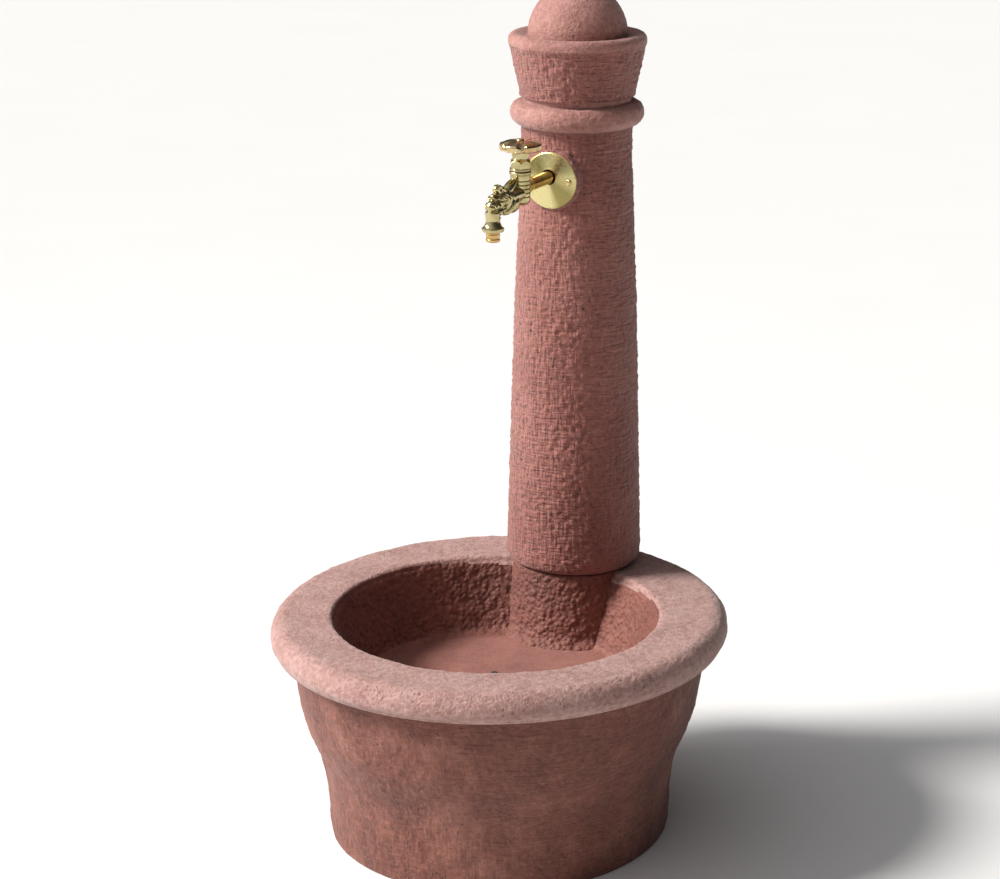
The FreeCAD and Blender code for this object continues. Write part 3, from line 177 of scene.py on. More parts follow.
def curvedLine(stations, step):        # a smooth line through (radius, height) stations
    points = [Vector(s) for s in stations]
    ends = [points[0] * 2 - points[1]] + points + [points[-1] * 2 - points[-2]]
    line = [points[0]]
    for i in range(1, len(points)):
        a, b, c, d = ends[i - 1:i + 3]
        parts = max(1, math.ceil((c - b).length / step))
        for part in range(1, parts + 1):
            t = part / parts
            line.append(0.5 * (2 * b + (c - a) * t + (2 * a - 5 * b + 4 * c - d) * t * t
                               + (3 * b - 3 * c + d - a) * t ** 3))
    return line


def roundLine(radius, height, start, end, parts):        # an arc about the axis, its angles in radians
    angles = [start + (end - start) * part / parts for part in range(parts + 1)]
    return [(max(0, radius * math.cos(angle)), height + radius * math.sin(angle)) for angle in angles]


def turnPiece(name, outline, turns, axis=(0, 0, 0), closed=False, tilt=0):
    # draws the outline as a ring of points, opens it where it isn't closed and turns it about its axis
    last = len(outline) - 1
    piece = addObject(bpy.ops.mesh.primitive_circle_add, vertices=last + 1, radius=mm, location=(0, 0, 0))
    piece.name = name
    setVertices(piece, np.array([(point[0], 0, point[1]) for point in outline]))
    if not closed:
        for vertex in piece.data.vertices:
            vertex.select = vertex.index in (0, last)
        for edge in piece.data.edges:
            edge.select = sorted(edge.vertices) == [0, last]
        bpy.ops.object.mode_set(mode="EDIT")
        bpy.ops.mesh.delete(type="EDGE_FACE")
        bpy.ops.object.mode_set(mode="OBJECT")
    modify(piece, "SCREW", angle=2 * math.pi, steps=turns, render_steps=turns, use_merge_vertices=True,
           merge_threshold=weld)
    bpy.ops.object.mode_set(mode="EDIT")
    bpy.ops.mesh.select_all(action="SELECT")
    bpy.ops.mesh.remove_doubles(threshold=weld)
    bpy.ops.mesh.normals_make_consistent(inside=False)
    bpy.ops.object.mode_set(mode="OBJECT")
    return putDown(piece, axis, tilt)


def turnCorners(name, corners, step, turns, axis=(0, 0, 0), tilt=0):
    return turnPiece(name, roundedOutline(corners, step, True), turns, axis, True, tilt)


def cutAway(piece, cutter):        # takes the cutter's shape out of a piece
    modify(piece, "BOOLEAN", operation="DIFFERENCE", solver="FAST", object=cutter)
    bpy.data.objects.remove(cutter)


def cutBehind(piece, y):        # keeps what stands in front of an upright plane and closes the cut
    makeActive(piece)
    bpy.ops.object.mode_set(mode="EDIT")
    bpy.ops.mesh.select_all(action="SELECT")
    bpy.ops.mesh.bisect(plane_co=(0, y * mm, 0), plane_no=(0, 1, 0), use_fill=True, clear_outer=True)
    bpy.ops.object.mode_set(mode="OBJECT")


def barBetween(start, end, radius, endRadius=None, sides=48):        # a round bar or a cone
    run = Vector(end) - Vector(start)
    bar = addObject(bpy.ops.mesh.primitive_cone_add, vertices=sides, radius1=radius * mm,
                    radius2=(endRadius or radius) * mm, depth=run.length * mm,
                    location=(Vector(start) + Vector(end)) / 2 * mm)
    bar.rotation_euler = run.to_track_quat("Z", "Y").to_euler()
    return settle(bar)


def addRelief(piece, area, weights, reliefs):
    # pushes the weighted surface in and out by solid textures, each stretched through an empty, then removed
    group = piece.vertex_groups.new(name=area)
    tenths = np.round(np.clip(np.asarray(weights, float), 0, 1) * 10).astype(int)
    for tenth in np.unique(tenths[tenths > 0]):
        group.add(np.nonzero(tenths == tenth)[0].tolist(), float(tenth) / 10, "REPLACE")
    for name, size, height, options in reliefs:
        texture = bpy.data.textures.new(name, "CLOUDS")
        texture.noise_scale = size * mm
        texture.noise_depth = options.get("depth", 2)
        texture.contrast = options.get("contrast", 1)
        guide = addObject(bpy.ops.object.empty_add, location=(0, 0, 0))
        guide.scale = options.get("stretch", (1, 1, 1))
        bpy.context.view_layer.update()
        modify(piece, "DISPLACE", texture=texture, texture_coords="OBJECT", texture_coords_object=guide,
               strength=height * mm, mid_level=options.get("middle", 0.5), vertex_group=area)
        bpy.data.objects.remove(guide)


# materials: inputs are values, or other nodes' sockets that are linked

def fillInputs(tree, node, inputs):
    for name, source in inputs.items():
        if hasattr(source, "links"):
            tree.links.new(source, node.inputs[name])
        else:
            node.inputs[name].default_value = source


def addNode(tree, kind, inputs, **settings):        # gives the new node's outputs
    node = tree.nodes.new("ShaderNode" + kind)
    for name, value in settings.items():
        setattr(node, name, value)
    fillInputs(tree, node, inputs)
    return node.outputs


def newMaterial(name):
    material = bpy.data.materials.new(name)
    material.use_nodes = True
    tree = material.node_tree
    return material, tree, tree.nodes["Principled BSDF"], addNode(tree, "TexCoord", {})["Object"]


def noiseNode(tree, place, scale, detail=4, stretch=(1, 1, 1), roughness=0.55):
    moved = addNode(tree, "Mapping", {"Vector": place, "Scale": stretch})["Vector"]
    return addNode(tree, "TexNoise", {"Vector": moved, "Scale": scale, "Detail": detail,
                                      "Roughness": roughness})["Fac"]


def cellNode(tree, place, scale, stretch):        # round cells, 0 at each middle
    moved = addNode(tree, "Mapping", {"Vector": place, "Scale": stretch})["Vector"]
    return addNode(tree, "TexVoronoi", {"Vector": moved, "Scale": scale})["Distance"]


def rampNode(tree, source, stops):
    ramp = tree.nodes.new("ShaderNodeValToRGB")
    elements = ramp.color_ramp.elements
    for index, (position, colour) in enumerate((stops[0], stops[-1])):
        elements[index].position = position
        elements[index].color = (*colour, 1)
    for position, colour in stops[1:-1]:
        elements.new(position).color = (*colour, 1)
    fillInputs(tree, ramp, {"Fac": source})
    return ramp.outputs["Color"]


def rangeNode(tree, source, low, high, toLow=0.0, toHigh=1.0):
    return addNode(tree, "MapRange", {"Value": source, "From Min": low, "From Max": high, "To Min": toLow,
                                      "To Max": toHigh})["Result"]


def mathNode(tree, operation, first, second):
    return addNode(tree, "Math", {0: first, 1: second}, operation=operation)["Value"]


def mixColours(tree, factor, first, second, blend="MIX"):        # 6, 7 and 2 are the colour sockets
    return addNode(tree, "Mix", {0: factor, 6: first, 7: second}, data_type="RGBA", blend_type=blend)[2]


def bumpNode(tree, height, distance, strength=1.0, before=None):
    inputs = {"Height": height, "Distance": distance * mm, "Strength": strength}
    if before:
        inputs["Normal"] = before
    return addNode(tree, "Bump", inputs)["Normal"]


def paintedHollowShade(tree, stops):        # a pointiness ramp: painted shade, darker in the hollows, and painted highlight, paler on the edges where the stops rise above 1
    return rampNode(tree, addNode(tree, "NewGeometry", {})["Pointiness"], stops)


stoneLook = {
    "pale": (0.345, 0.130, 0.102),
    "middle": (0.288, 0.093, 0.070),
    "deep": (0.215, 0.061, 0.044),
    # painted shade inside the pits
    "pit": (0.085, 0.026, 0.019),
    "roughness": 0.66,
    "dust": 0.25,        # pale bloom where the surface is seen at a shallow angle
    "grain": 0.5,        # millimetres of fine bump
    "speckle": 0.3,      # strength of the fine speckle
    "weave": 0.0,        # upright and level trowel marks
    "knobs": 0.0,        # coarse lumps
    "pits": 0.7,         # small scattered holes
    "patches": 14,       # how many colour patches to a metre
    "mottle": 170, "pitFields": 34, "pitCells": 200, "lumpCells": 175, "marks": 330,        # to a metre too
}


def stoneMaterial(name, **changes):
    look = {**stoneLook, **changes}
    material, tree, shader, place = newMaterial(name)
    tones = [look["deep"], look["middle"], look["pale"]]
    patches = noiseNode(tree, place, look["patches"], 6, (1, 1, 0.8), 0.62)
    mottle = noiseNode(tree, place, look["mottle"], 5, (1, 1, 1.2))
    colour = mixColours(tree, look["speckle"], rampNode(tree, patches, list(zip((0.33, 0.50, 0.66), tones))),
                        rampNode(tree, mottle, list(zip((0.36, 0.50, 0.62), tones))))
    gathered = rangeNode(tree, noiseNode(tree, place, look["pitFields"]), 0.50, 0.60)
    holes = rangeNode(tree, cellNode(tree, place, look["pitCells"], (1, 1, 0.75)), 0.36, 0.12)
    pits = mathNode(tree, "MULTIPLY", holes, gathered)
    # painted shade: the pits' colour darkens the stone inside the scattered holes
    colour = mixColours(tree, mathNode(tree, "MULTIPLY", pits, 0.75), colour, (*look["pit"], 1))
    # painted shade in the stone's hollows and painted highlight on its edges, multiplied into the base colour
    # below
    edge = paintedHollowShade(tree, [(0.43, (0.55, 0.47, 0.45)), (0.5, (1, 1, 1)), (0.57, (1.2, 1.2, 1.2))])
    normal = bumpNode(tree, noiseNode(tree, place, look["marks"], 4, (1, 1, 1.2), 0.6), look["grain"] * 1.8)
    normal = bumpNode(tree, mathNode(tree, "SUBTRACT", 1.0, pits), look["pits"], 1, normal)
    if look["weave"]:
        for stretch, share in (((1, 1, 0.14), 0.8), ((0.16, 0.16, 1), 1)):        # upright, then level
            marks = rangeNode(tree, noiseNode(tree, place, look["marks"], 3, stretch), 0.34, 0.66)
            normal = bumpNode(tree, marks, look["weave"] * share, 1, normal)
    if look["knobs"]:
        lumps = rangeNode(tree, cellNode(tree, place, look["lumpCells"], (1, 1, 1.1)), 0.75, 0.1)
        normal = bumpNode(tree, lumps, look["knobs"], 1, normal)
    fillInputs(tree, shader, {"Base Color": mixColours(tree, 0.8, colour, edge, "MULTIPLY"), "Normal": normal,
                              "Roughness": look["roughness"], "Sheen Weight": look["dust"],
                              "Sheen Roughness": 0.45})
    return material


def metalMaterial(name, colour, dark, roughness, scratch=0.0):
    material, tree, shader, place = newMaterial(name)
    tone = rampNode(tree, noiseNode(tree, place, 70), [(0.32, dark), (0.58, colour)])
    # darker in the hollows: patina the brass has there, and painted shade there too
    black = tuple(c * 0.18 for c in dark)
    patinaAndPaintedShade = paintedHollowShade(tree, [(0.40, black), (0.485, (0.8, 0.78, 0.72)), (0.52, (1, 1, 1))])
    wear = rangeNode(tree, noiseNode(tree, place, 240), 0.35, 0.65, roughness * 0.7, roughness * 1.35)
    normal = bumpNode(tree, noiseNode(tree, place, 420, 3), 0.03, 0.6)
    if scratch:
        normal = bumpNode(tree, noiseNode(tree, place, 900, 2, (1, 1, 0.1)), scratch, 0.5, normal)
    fillInputs(tree, shader, {"Base Color": mixColours(tree, 1.0, tone, patinaAndPaintedShade, "MULTIPLY"), "Metallic": 1,
                              "Roughness": wear, "Normal": normal})
    return material


def paintedSectorMaterial(name, base, dark):        # spun sheet: light and dark sectors painted in the base colour by the angle about the shank, a painted reflection; the turning marks are a bump
    material, tree, shader, place = newMaterial(name)
    disc = addNode(tree, "Mapping", {"Vector": place, "Location": (0, shankHeight * mm, 0),
                                     "Rotation": (math.radians(90), 0, 0)}, vector_type="POINT")["Vector"]
    paintedReflectionSector = addNode(tree, "TexGradient", {"Vector": disc}, gradient_type="RADIAL")["Fac"]
    half = tuple((b + d) / 2 for b, d in zip(base, dark))
    # painted reflection: dark and bright sectors by angle
    stops = [(0.0, half), (0.05, dark), (0.13, dark), (0.20, half), (0.30, base), (0.50, base), (0.56, half),
             (0.605, dark), (0.69, dark), (0.74, base), (0.87, base), (0.94, half), (1.0, half)]
    rings = addNode(tree, "TexWave", {"Vector": disc, "Scale": 300}, wave_type="RINGS",
                    rings_direction="SPHERICAL")["Fac"]
    wear = rangeNode(tree, noiseNode(tree, place, 200, 3), 0.3, 0.7, 0.2, 0.3)
    fillInputs(tree, shader, {"Base Color": rampNode(tree, paintedReflectionSector, stops), "Metallic": 1, "Roughness": wear,
                              "Normal": bumpNode(tree, rings, 0.02, 0.5)})
    return material


def dullMaterial(name, colour, roughness):
    material, tree, shader, place = newMaterial(name)
    darker = tuple(c * 0.7 for c in colour)
    fillInputs(tree, shader, {
        "Base Color": rampNode(tree, noiseNode(tree, place, 90), [(0.35, darker), (0.65, colour)]),
        "Roughness": roughness,
        "Normal": bumpNode(tree, noiseNode(tree, place, 700, 3), 0.08, 0.6)})
    return material


columnStone = stoneMaterial("columnStone", weave=1.5, grain=0.35, patches=10)
basinStone = stoneMaterial("basinStone", patches=13, grain=0.6, weave=0.6, pale=(0.290, 0.112, 0.078),
                           middle=(0.170, 0.050, 0.031), deep=(0.105, 0.029, 0.018), dust=0.08)
rimStone = stoneMaterial("rimStone", patches=20, grain=1.1, pale=(0.47, 0.285, 0.255),
                         middle=(0.385, 0.208, 0.180), deep=(0.27, 0.130, 0.105), pits=0.5,
                         pit=(0.16, 0.07, 0.05), speckle=0.6)
bowlStone = stoneMaterial("bowlStone", knobs=1.5, grain=0.45, patches=18, pale=(0.235, 0.080, 0.057),
                          middle=(0.180, 0.056, 0.038), deep=(0.110, 0.031, 0.021), dust=0.1)
floorStone = stoneMaterial("floorStone", pits=0.3, pale=(0.31, 0.115, 0.086), middle=(0.25, 0.086, 0.062),
                           deep=(0.19, 0.062, 0.044), dust=0.2)
# a paler copy of the stone, painted light on the upper mouldings
paintedLightStone = stoneMaterial("paintedLightStone", grain=0.9, patches=20, pale=(0.42, 0.205, 0.172),
                          middle=(0.335, 0.143, 0.116), deep=(0.24, 0.092, 0.072), pits=0.3,
                          pit=(0.17, 0.065, 0.05), speckle=0.5)
polishedBrass = metalMaterial("polishedBrass", (0.64, 0.55, 0.30), (0.34, 0.28, 0.11), 0.12)
knobBrass = metalMaterial("knobBrass", (0.80, 0.62, 0.36), (0.56, 0.38, 0.17), 0.11)
shankBrass = metalMaterial("shankBrass", (0.80, 0.55, 0.24), (0.58, 0.36, 0.13), 0.2)
turnedBrass = metalMaterial("turnedBrass", (0.72, 0.55, 0.26), (0.55, 0.40, 0.17), 0.32, scratch=0.03)
screwBrass = metalMaterial("screwBrass", (0.83, 0.66, 0.33), (0.60, 0.45, 0.2), 0.24)
rosetteBrass = paintedSectorMaterial("rosetteBrass", (0.68, 0.59, 0.29), (0.30, 0.25, 0.09))
screwSteel = metalMaterial("screwSteel", (0.62, 0.62, 0.60), (0.48, 0.48, 0.47), 0.3)
blackRubber = dullMaterial("blackRubber", (0.03, 0.03, 0.03), 0.75)
pressedFibre = dullMaterial("pressedFibre", (0.15, 0.05, 0.03), 0.85)
greyPlastic = dullMaterial("greyPlastic", (0.20, 0.19, 0.185), 0.5)
hosePlastic = dullMaterial("hosePlastic", (0.05, 0.16, 0.07), 0.38)
print("materials ready")

# basin: the skirt, the rim with the bowl, and the pedestal, all one moulding on the real object
skirt = {
    "stations": [(187.3, 5), (188.3, 18), (188.8, 34), (191.4, 64), (198.4, 96), (213.5, 136), (221.4, 176),
                 (228.2, 226)],
    "wall": 6, "footBevel": [(2.6, 0), (0.9, 1.6)], "turns": 690, "step": 2.1,
    "oval": 1.075,        # depth to width, also of the rim
    "inletHeight": 42, "inletHole": 13.5, "inletPad": 24, "padFront": 194, "padBack": 210, "padRound": 1.2,
    "padTurns": 96,
    "relief": [("skirtWaves", 45, 2.0, {"middle": 0.62}), ("skirtPatches", 14, 2.4, {"middle": 0.62}),
               ("skirtTrowel", 5.5, 1.3, {"stretch": (1, 1, 1.8)}),
               ("skirtBands", 5, 0.9, {"stretch": (4, 4, 0.8), "middle": 0.7})],
}
rimBowl = {
    "rimWidth": 250.3, "rimMiddle": 232, "rimTop": 253.4, "rimUnder": 220.2, "underInner": 224, "roll": 13,
    "topRound": 20, "lipRound": 7, "lipHeight": 249.5, "wall": 6,
    "bowlWidth": 179.2, "bowlExtraDepth": 4.8, "bowlShift": -10.4, "draft": math.tan(math.radians(21)),
    "floor": 169, "floorTop": 174, "floorRound": 18, "drain": 16.9, "drainShift": -3.6,
    "ovalFrom": 230, "ovalFade": 44,        # the oval rim turns into the bowl from here inwards
    "depthFrom": 30, "depthFade": 90, "drainFade": (22, 60),
    "wallFade": (128, 150), "floorFade": (130, 150), "lipFade": (240, 250), "innerFace": 244.6,
    "spaceRadius": 66.5, "spaceRear": 214,        # room for the pedestal
    "turns": 560, "step": 2.4,
    "rimRelief": [("rimWaves", 34, 2.2, {"middle": 1}), ("rimGrain", 5, 1.5, {"middle": 0.85})],
    "wallRelief": [("bowlLumps", 11, 3.0, {}), ("bowlKnobs", 6, 3.4, {"depth": 3})],
    "floorRelief": [("floorWaves", 24, 1.6, {}), ("floorGrain", 5, 0.5, {})],
}


def makeSkirt(s):
    outer = curvedLine(s["stations"], s["step"])
    foot, wall = outer[0].x, s["wall"]
    outline = [(foot - inward, height) for inward, height in [(wall, 0)] + s["footBevel"]] + outer
    outline += [(radius - wall, height) for radius, height in s["stations"]][::-1]
    piece = turnPiece("basin_skirt", outline, s["turns"], closed=True)
    places = vertexArray(piece)
    radius, height = reachFrom(places), places[:, 2]
    places[:, 1] *= s["oval"]
    setVertices(piece, places)
    wallLine = np.interp(height, [z for r, z in s["stations"]], [r for r, z in s["stations"]])
    addRelief(piece, "outside", smoothStep(-3, -1, radius - wallLine) * smoothStep(0, 4, height), s["relief"])
    level = s["inletHeight"]
    cutAway(piece, barBetween((0, 150, level), (0, 260, level), s["inletHole"] + 5))
    depth = s["padBack"] - s["padFront"]
    corners = [(s["inletHole"], 0), (s["inletPad"], 0), (s["inletPad"], depth, s["padRound"]),
               (s["inletHole"], depth)]
    ring = turnCorners("basin_inlet_pad", corners, s["padRound"], s["padTurns"],
                       (0, s["padFront"], level), -90)
    return joinPieces("basin_skirt", [smoothShade(piece), smoothShade(ring, 40)])


def makeRimBowl(s):
    rim, bowl, top, floor, wall = s["rimWidth"], s["bowlWidth"], s["rimTop"], s["floor"], s["wall"]
    floorWidth = bowl - (top - floor) * s["draft"]
    outline = roundedOutline([(s["drain"], floor), (floorWidth, floor, s["floorRound"]),
                              (bowl, top, s["lipRound"]), (rim, top, s["topRound"]),
                              (rim, s["rimMiddle"])], s["step"])
    for part in range(1, 13):        # the rim's underside, an arc
        drop = (s["rimMiddle"] - s["rimUnder"]) * part / 12
        outline.append((rim - s["roll"] + math.sqrt(s["roll"] ** 2 - drop ** 2), s["rimMiddle"] - drop))
    under = s["underInner"]
    outline += [(under, s["rimUnder"]), (under, s["rimUnder"] + wall), (rim - wall - 2, 228),
                (rim - wall, 236), (under + 4, top - wall), (bowl + wall, top - wall),
                (floorWidth + wall, floor + wall), (floorWidth - 8, floor - wall),
                (s["drain"] + 20, floor - wall), (s["drain"], floor - wall)]
    piece = turnPiece("basin_rim_bowl", outline, s["turns"], closed=True)
    places = vertexArray(piece)
    radius, height = reachFrom(places), places[:, 2]
    bowlShare = np.clip((s["ovalFrom"] - radius) / s["ovalFade"], 0, 1)
    bowlDepth = radius + s["bowlExtraDepth"] * np.clip((radius - s["depthFrom"]) / s["depthFade"], 0, 1)
    depth = (1 - bowlShare) * skirt["oval"] * radius + bowlShare * bowlDepth
    places[:, 1] = places[:, 1] / radius * depth + s["bowlShift"] * bowlShare
    places[:, 1] += s["drainShift"] * (1 - smoothStep(*s["drainFade"], radius))
    setVertices(piece, places)
    for finish in (rimStone, bowlStone, floorStone):
        piece.data.materials.append(finish)
    for face in piece.data.polygons:        # the bowl's inside has finishes of its own
        x, y, z = face.center / mm
        if math.hypot(x, y - s["bowlShift"]) < bowl and z < s["lipHeight"]:
            face.material_index = 2 if z < s["floorTop"] else 1
    # the underside and the inner wall stay plain
    seen = (height > 168) & ~((radius > 184) & (height < 248) & (radius < 222))
    innerFace = s["innerFace"] - np.maximum(0, (height - 238) * 1.2)
    seen &= ~((height < 247.6) & (radius > 186) & (radius < innerFace) & (height > 184))
    onWall = (radius < 180) * seen * smoothStep(*s["wallFade"], radius) * (height < 247)
    onFloor = (radius < 182) * seen * (1 - smoothStep(*s["floorFade"], radius)) * (radius > 24)
    addRelief(piece, "rim", (radius >= 176) & seen, s["rimRelief"])
    addRelief(piece, "bowlWall", onWall * (1 - smoothStep(*s["lipFade"], height)), s["wallRelief"])
    addRelief(piece, "bowlFloor", onFloor, s["floorRelief"])
    space = barBetween((columnX, columnY, 120), (columnX, columnY, 270), s["spaceRadius"], sides=96)
    cutBehind(space, s["spaceRear"])
    cutAway(piece, space)
    return smoothShade(piece)


pedestal = {
    "topRadius": 69.3, "footRadius": 78.3, "spread": 8, "top": 253.4, "floor": 169, "bottom": 157, "wall": 6,
    "footRound": 16, "topRound": 2.5, "ringOuter": 49.3, "ringBore": 44.3, "ringHeight": 12, "ringRound": 0.8,
    "rear": 216, "topFade": (246, 251), "turns": 290, "step": 1.9,
    "relief": [("pedestalLumps", 11, 3.0, {}), ("pedestalKnobs", 6, 3.4, {"depth": 3})],
}


def makePedestal(p):
    top, foot, wall, floor = p["top"], p["footRadius"], p["wall"], p["floor"]
    ringTop = top + p["ringHeight"]
    corners = [(foot - wall + 2, p["bottom"]), (foot + p["spread"], p["bottom"]),
               (foot + p["spread"], floor + 0.6), (foot - 0.6, floor + 9, p["footRound"]),
               (p["topRadius"], top, p["topRound"]), (p["ringOuter"], top),
               (p["ringOuter"], ringTop, p["ringRound"]), (p["ringBore"], ringTop, p["ringRound"]),
               (p["ringBore"], top - wall), (p["topRadius"] - wall, top - wall)]
    piece = turnCorners("basin_pedestal", corners, p["step"], p["turns"], (columnX, columnY, 0))
    cutBehind(piece, p["rear"])
    places = vertexArray(piece)
    radius, height = reachFrom(places, columnX, columnY), places[:, 2]
    wallLine = np.interp(height, [floor, top], [foot, p["topRadius"]])
    side = smoothStep(-3, -1.5, radius - wallLine) * (height > 167) * (places[:, 1] < p["rear"] - 1)
    addRelief(piece, "side", side * (1 - smoothStep(*p["topFade"], height)), p["relief"])
    return smoothShade(piece, 60)


finishPiece(makeSkirt(skirt), "root", ["basin"], basinStone)
finishPiece(makeRimBowl(rimBowl), "root", [], rimStone)
finishPiece(makePedestal(pedestal), "root", [], bowlStone)
print("basin ready")

# column: taper, collar bead and neck, with the tap's pad
column = {
    "foot": 78.3, "footRound": 15, "middle": 70.7, "middleHeight": 286.6, "head": 62.8, "headHeight": 476.6,
    "beadStart": 510.6, "beadHeight": 26, "bead": 74.9, "beadRound": 12, "neck": 60, "neckHeight": 6,
    "bore": 49.6, "flange": 8, "wall": 5, "innerHead": 512, "innerNeck": 524, "turns": 250, "step": 1.86,
    "footFade": (4, 12), "headFade": (504, 511), "beadFade": (510, 514),
    "shaftRelief": [("shaftWaves", 26, 1.0, {"depth": 1, "middle": 0.7}),
                    ("shaftBands", 3.8, 0.7, {"stretch": (4, 4, 0.7), "middle": 0.7}),
                    ("shaftStreaks", 3.6, 0.8, {"stretch": (0.8, 0.8, 4.6), "middle": 0.7}),
                    ("shaftPits", 5, 1.5, {"contrast": 2.4, "middle": 0.95})],
    "beadRelief": [("beadLumps", 7, 1.6, {"middle": 0.7}),
                   ("beadGrain", 3.6, 1.1, {"depth": 3, "middle": 0.7})],
}
pad = {"radius": 33.5, "round": 2.5, "depth": 16, "front": 122.5, "hole": 8.93, "turns": 150, "step": 1.3,
       "edgeFade": (30.5, 32.5),
       "relief": [("padGrain", 5, 1.1, {"depth": 3})]}


def makeColumn(c):
    head, bead, neck, wall = c["head"], c["bead"], c["neck"], c["wall"]
    beadTop = c["beadStart"] + c["beadHeight"]
    neckTop = beadTop + c["neckHeight"]
    outline = roundedOutline([
        (c["bore"], 0), (c["foot"], 0, c["footRound"]), (c["middle"], c["middleHeight"], 900),
        (head, c["headHeight"], 500), (head, c["beadStart"], 1.5), (bead, c["beadStart"], c["beadRound"]),
        (bead, beadTop, c["beadRound"]), (neck, beadTop, 1), (neck, neckTop), (neck - wall, neckTop),
    ], c["step"])
    outline += [(neck - wall, c["innerNeck"]), (head - wall, c["innerHead"]), (head - wall, c["headHeight"]),
                (c["middle"] - wall, c["middleHeight"]), (c["foot"] - wall, c["flange"]),
                (c["bore"], c["flange"])]
    piece = turnPiece("column_shell", outline, c["turns"], (columnX, columnY, rimTop), True)
    places = vertexArray(piece)
    radius, height = reachFrom(places, columnX, columnY), places[:, 2] - rimTop
    wallLine = np.interp(height, [0, c["middleHeight"], c["headHeight"]], [c["foot"], c["middle"], head])
    outer = (radius > 61.5) & (height > 1) & (radius > wallLine - 3)
    onShaft = outer * (1 - smoothStep(*c["headFade"], height)) * smoothStep(*c["footFade"], height)
    addRelief(piece, "shaft", onShaft, c["shaftRelief"])
    addRelief(piece, "bead", outer * smoothStep(*c["beadFade"], height), c["beadRelief"])
    cutAway(piece, barBetween((0, 100, shankHeight), (0, 150, shankHeight), pad["hole"] + 3))
    return smoothShade(piece)


def lowerEdge(piece, hole, radius):
    # the hole stays at the shank's height and the edge drops to the height of the tap's head
    places = vertexArray(piece)
    reach = np.hypot(places[:, 0], places[:, 2] - shankHeight)
    places[:, 2] -= (shankHeight - tapHeight) * np.clip((reach - hole) / (radius - hole), 0, 1)
    setVertices(piece, places)
    return places, reach


def makePad(p):
    hole, radius, depth = p["hole"], p["radius"], p["depth"]
    corners = [(hole, 0), (radius, 0, p["round"]), (radius, depth), (hole, depth)]
    piece = turnCorners("column_tap_pad", corners, p["step"], p["turns"],
                        (columnX, p["front"], shankHeight), -90)
    places, reach = lowerEdge(piece, hole, radius)
    front = places[:, 1] < p["front"] + 6
    addRelief(piece, "edge", front * smoothStep(*p["edgeFade"], reach), p["relief"])
    return smoothShade(piece, 50)


def paintLightAbove(piece, height):        # painted light: the upper mouldings, lit from above, get a paler copy of the stone
    piece.data.materials.append(paintedLightStone)
    for face in piece.data.polygons:
        if face.center.z > height * mm:
            face.material_index = 1


paintLightAbove(finishPiece(makeColumn(column), "root", ["column"], columnStone), rimTop + 511.6)
finishPiece(makePad(pad), "root", [], columnStone)
print("column ready")

# capital: flared lid, lip, dish and ball
capital = {
    "base": 64.8, "lip": 77.1, "flareHeight": 58, "height": 69.4, "lipRound": 8, "lipInner": 68,
    "lipInnerRound": 3, "dish": 58.5, "dishHeight": 65.6, "bore": 50.5, "spigot": 54.7, "spigotDepth": 18,
    "ball": 55.6, "ballHeight": 67.6, "wall": 4, "flareFade": (53, 57), "turns": 310, "step": 1.6,
    "flareRelief": [("flareWaves", 20, 0.9, {"middle": 0.8}),
                    ("flareBands", 3.8, 0.8, {"stretch": (3.4, 3.4, 0.7), "middle": 0.8}),
                    ("flareStreaks", 3.6, 0.9, {"stretch": (0.8, 0.8, 3.8), "middle": 0.8}),
                    ("flarePits", 6, 1.5, {"contrast": 2.4, "middle": 0.95})],
    "lipRelief": [("lipGrain", 4.5, 0.8, {"depth": 3, "middle": 0.9})],
    "ballRelief": [("ballGrain", 4.5, 0.7, {"depth": 3, "middle": 1})],
}


def makeCapital(c):
    ball, middle, quarter = c["ball"], c["ballHeight"], math.pi / 2
    start = math.asin((c["dishHeight"] - middle) / ball)
    flare = [(c["bore"], -c["spigotDepth"]), (c["spigot"], -c["spigotDepth"]), (c["spigot"], 0),
             (c["base"], 0, 2), (c["lip"], c["flareHeight"], 20), (c["lip"], c["height"], c["lipRound"]),
             (c["lipInner"], c["height"], c["lipInnerRound"]), (c["dish"], c["dishHeight"], 2),
             (ball * math.cos(start), c["dishHeight"])]
    outline = roundLine(ball - c["wall"], middle, quarter, -0.2, 12)
    outline += [(c["lip"] - 5, 57), (c["base"] - 3, 4), (c["bore"], 4)] + roundedOutline(flare, c["step"])
    outline += roundLine(ball, middle, start, quarter, int(ball * (quarter - start) / c["step"]))[1:]
    foot = lidFoot + c["spigotDepth"]
    piece = turnPiece("capital_shell", outline, c["turns"], (columnX, columnY, foot))
    places = vertexArray(piece)
    radius, height = reachFrom(places, columnX, columnY), places[:, 2] - foot
    onBall = (height > c["dishHeight"]) * (radius < 60)
    onBall = onBall * smoothStep(ball - 1.5, ball - 0.5, np.hypot(radius, height - middle))
    wallLine = np.interp(height, [0, c["flareHeight"]], [c["base"], c["lip"]])
    onFlare = (height > 1) * (radius > wallLine - 2) * (1 - smoothStep(*c["flareFade"], height))
    onLip = (height >= 55) * (radius > np.maximum(58, (height < 63) * (wallLine - 2)))
    addRelief(piece, "flare", onFlare, c["flareRelief"])
    addRelief(piece, "lip", onLip, c["lipRelief"])
    addRelief(piece, "ball", onBall, c["ballRelief"])
    return smoothShade(piece)


paintLightAbove(finishPiece(makeCapital(capital), "lid", ["capital"], columnStone),
          lidFoot + capital["spigotDepth"] + capital["flareHeight"])
print("capital ready")

# tap: cast body with its shank, head and collar, the bonnet, the gland nut and the hand wheel
tap = {
    "front": 48, "spout": -16.4, "barrelFoot": 698, "barrel": 11, "barrelTop": 735, "ring": 12.1,
    "ringHeight": 3.6, "footRound": 7, "chamber": 8.6, "chamberFloor": 14, "centreHole": 3,
    "grooves": 5, "grooveStart": 9, "groovePitch": 4.4, "grooveWidth": 1.3, "grooveDepth": 0.9,
}


def valvePiece(name, corners, step, turns=96):
    return smoothShade(turnCorners(name, corners, step, turns, (0, tap["front"], 0)), 30)


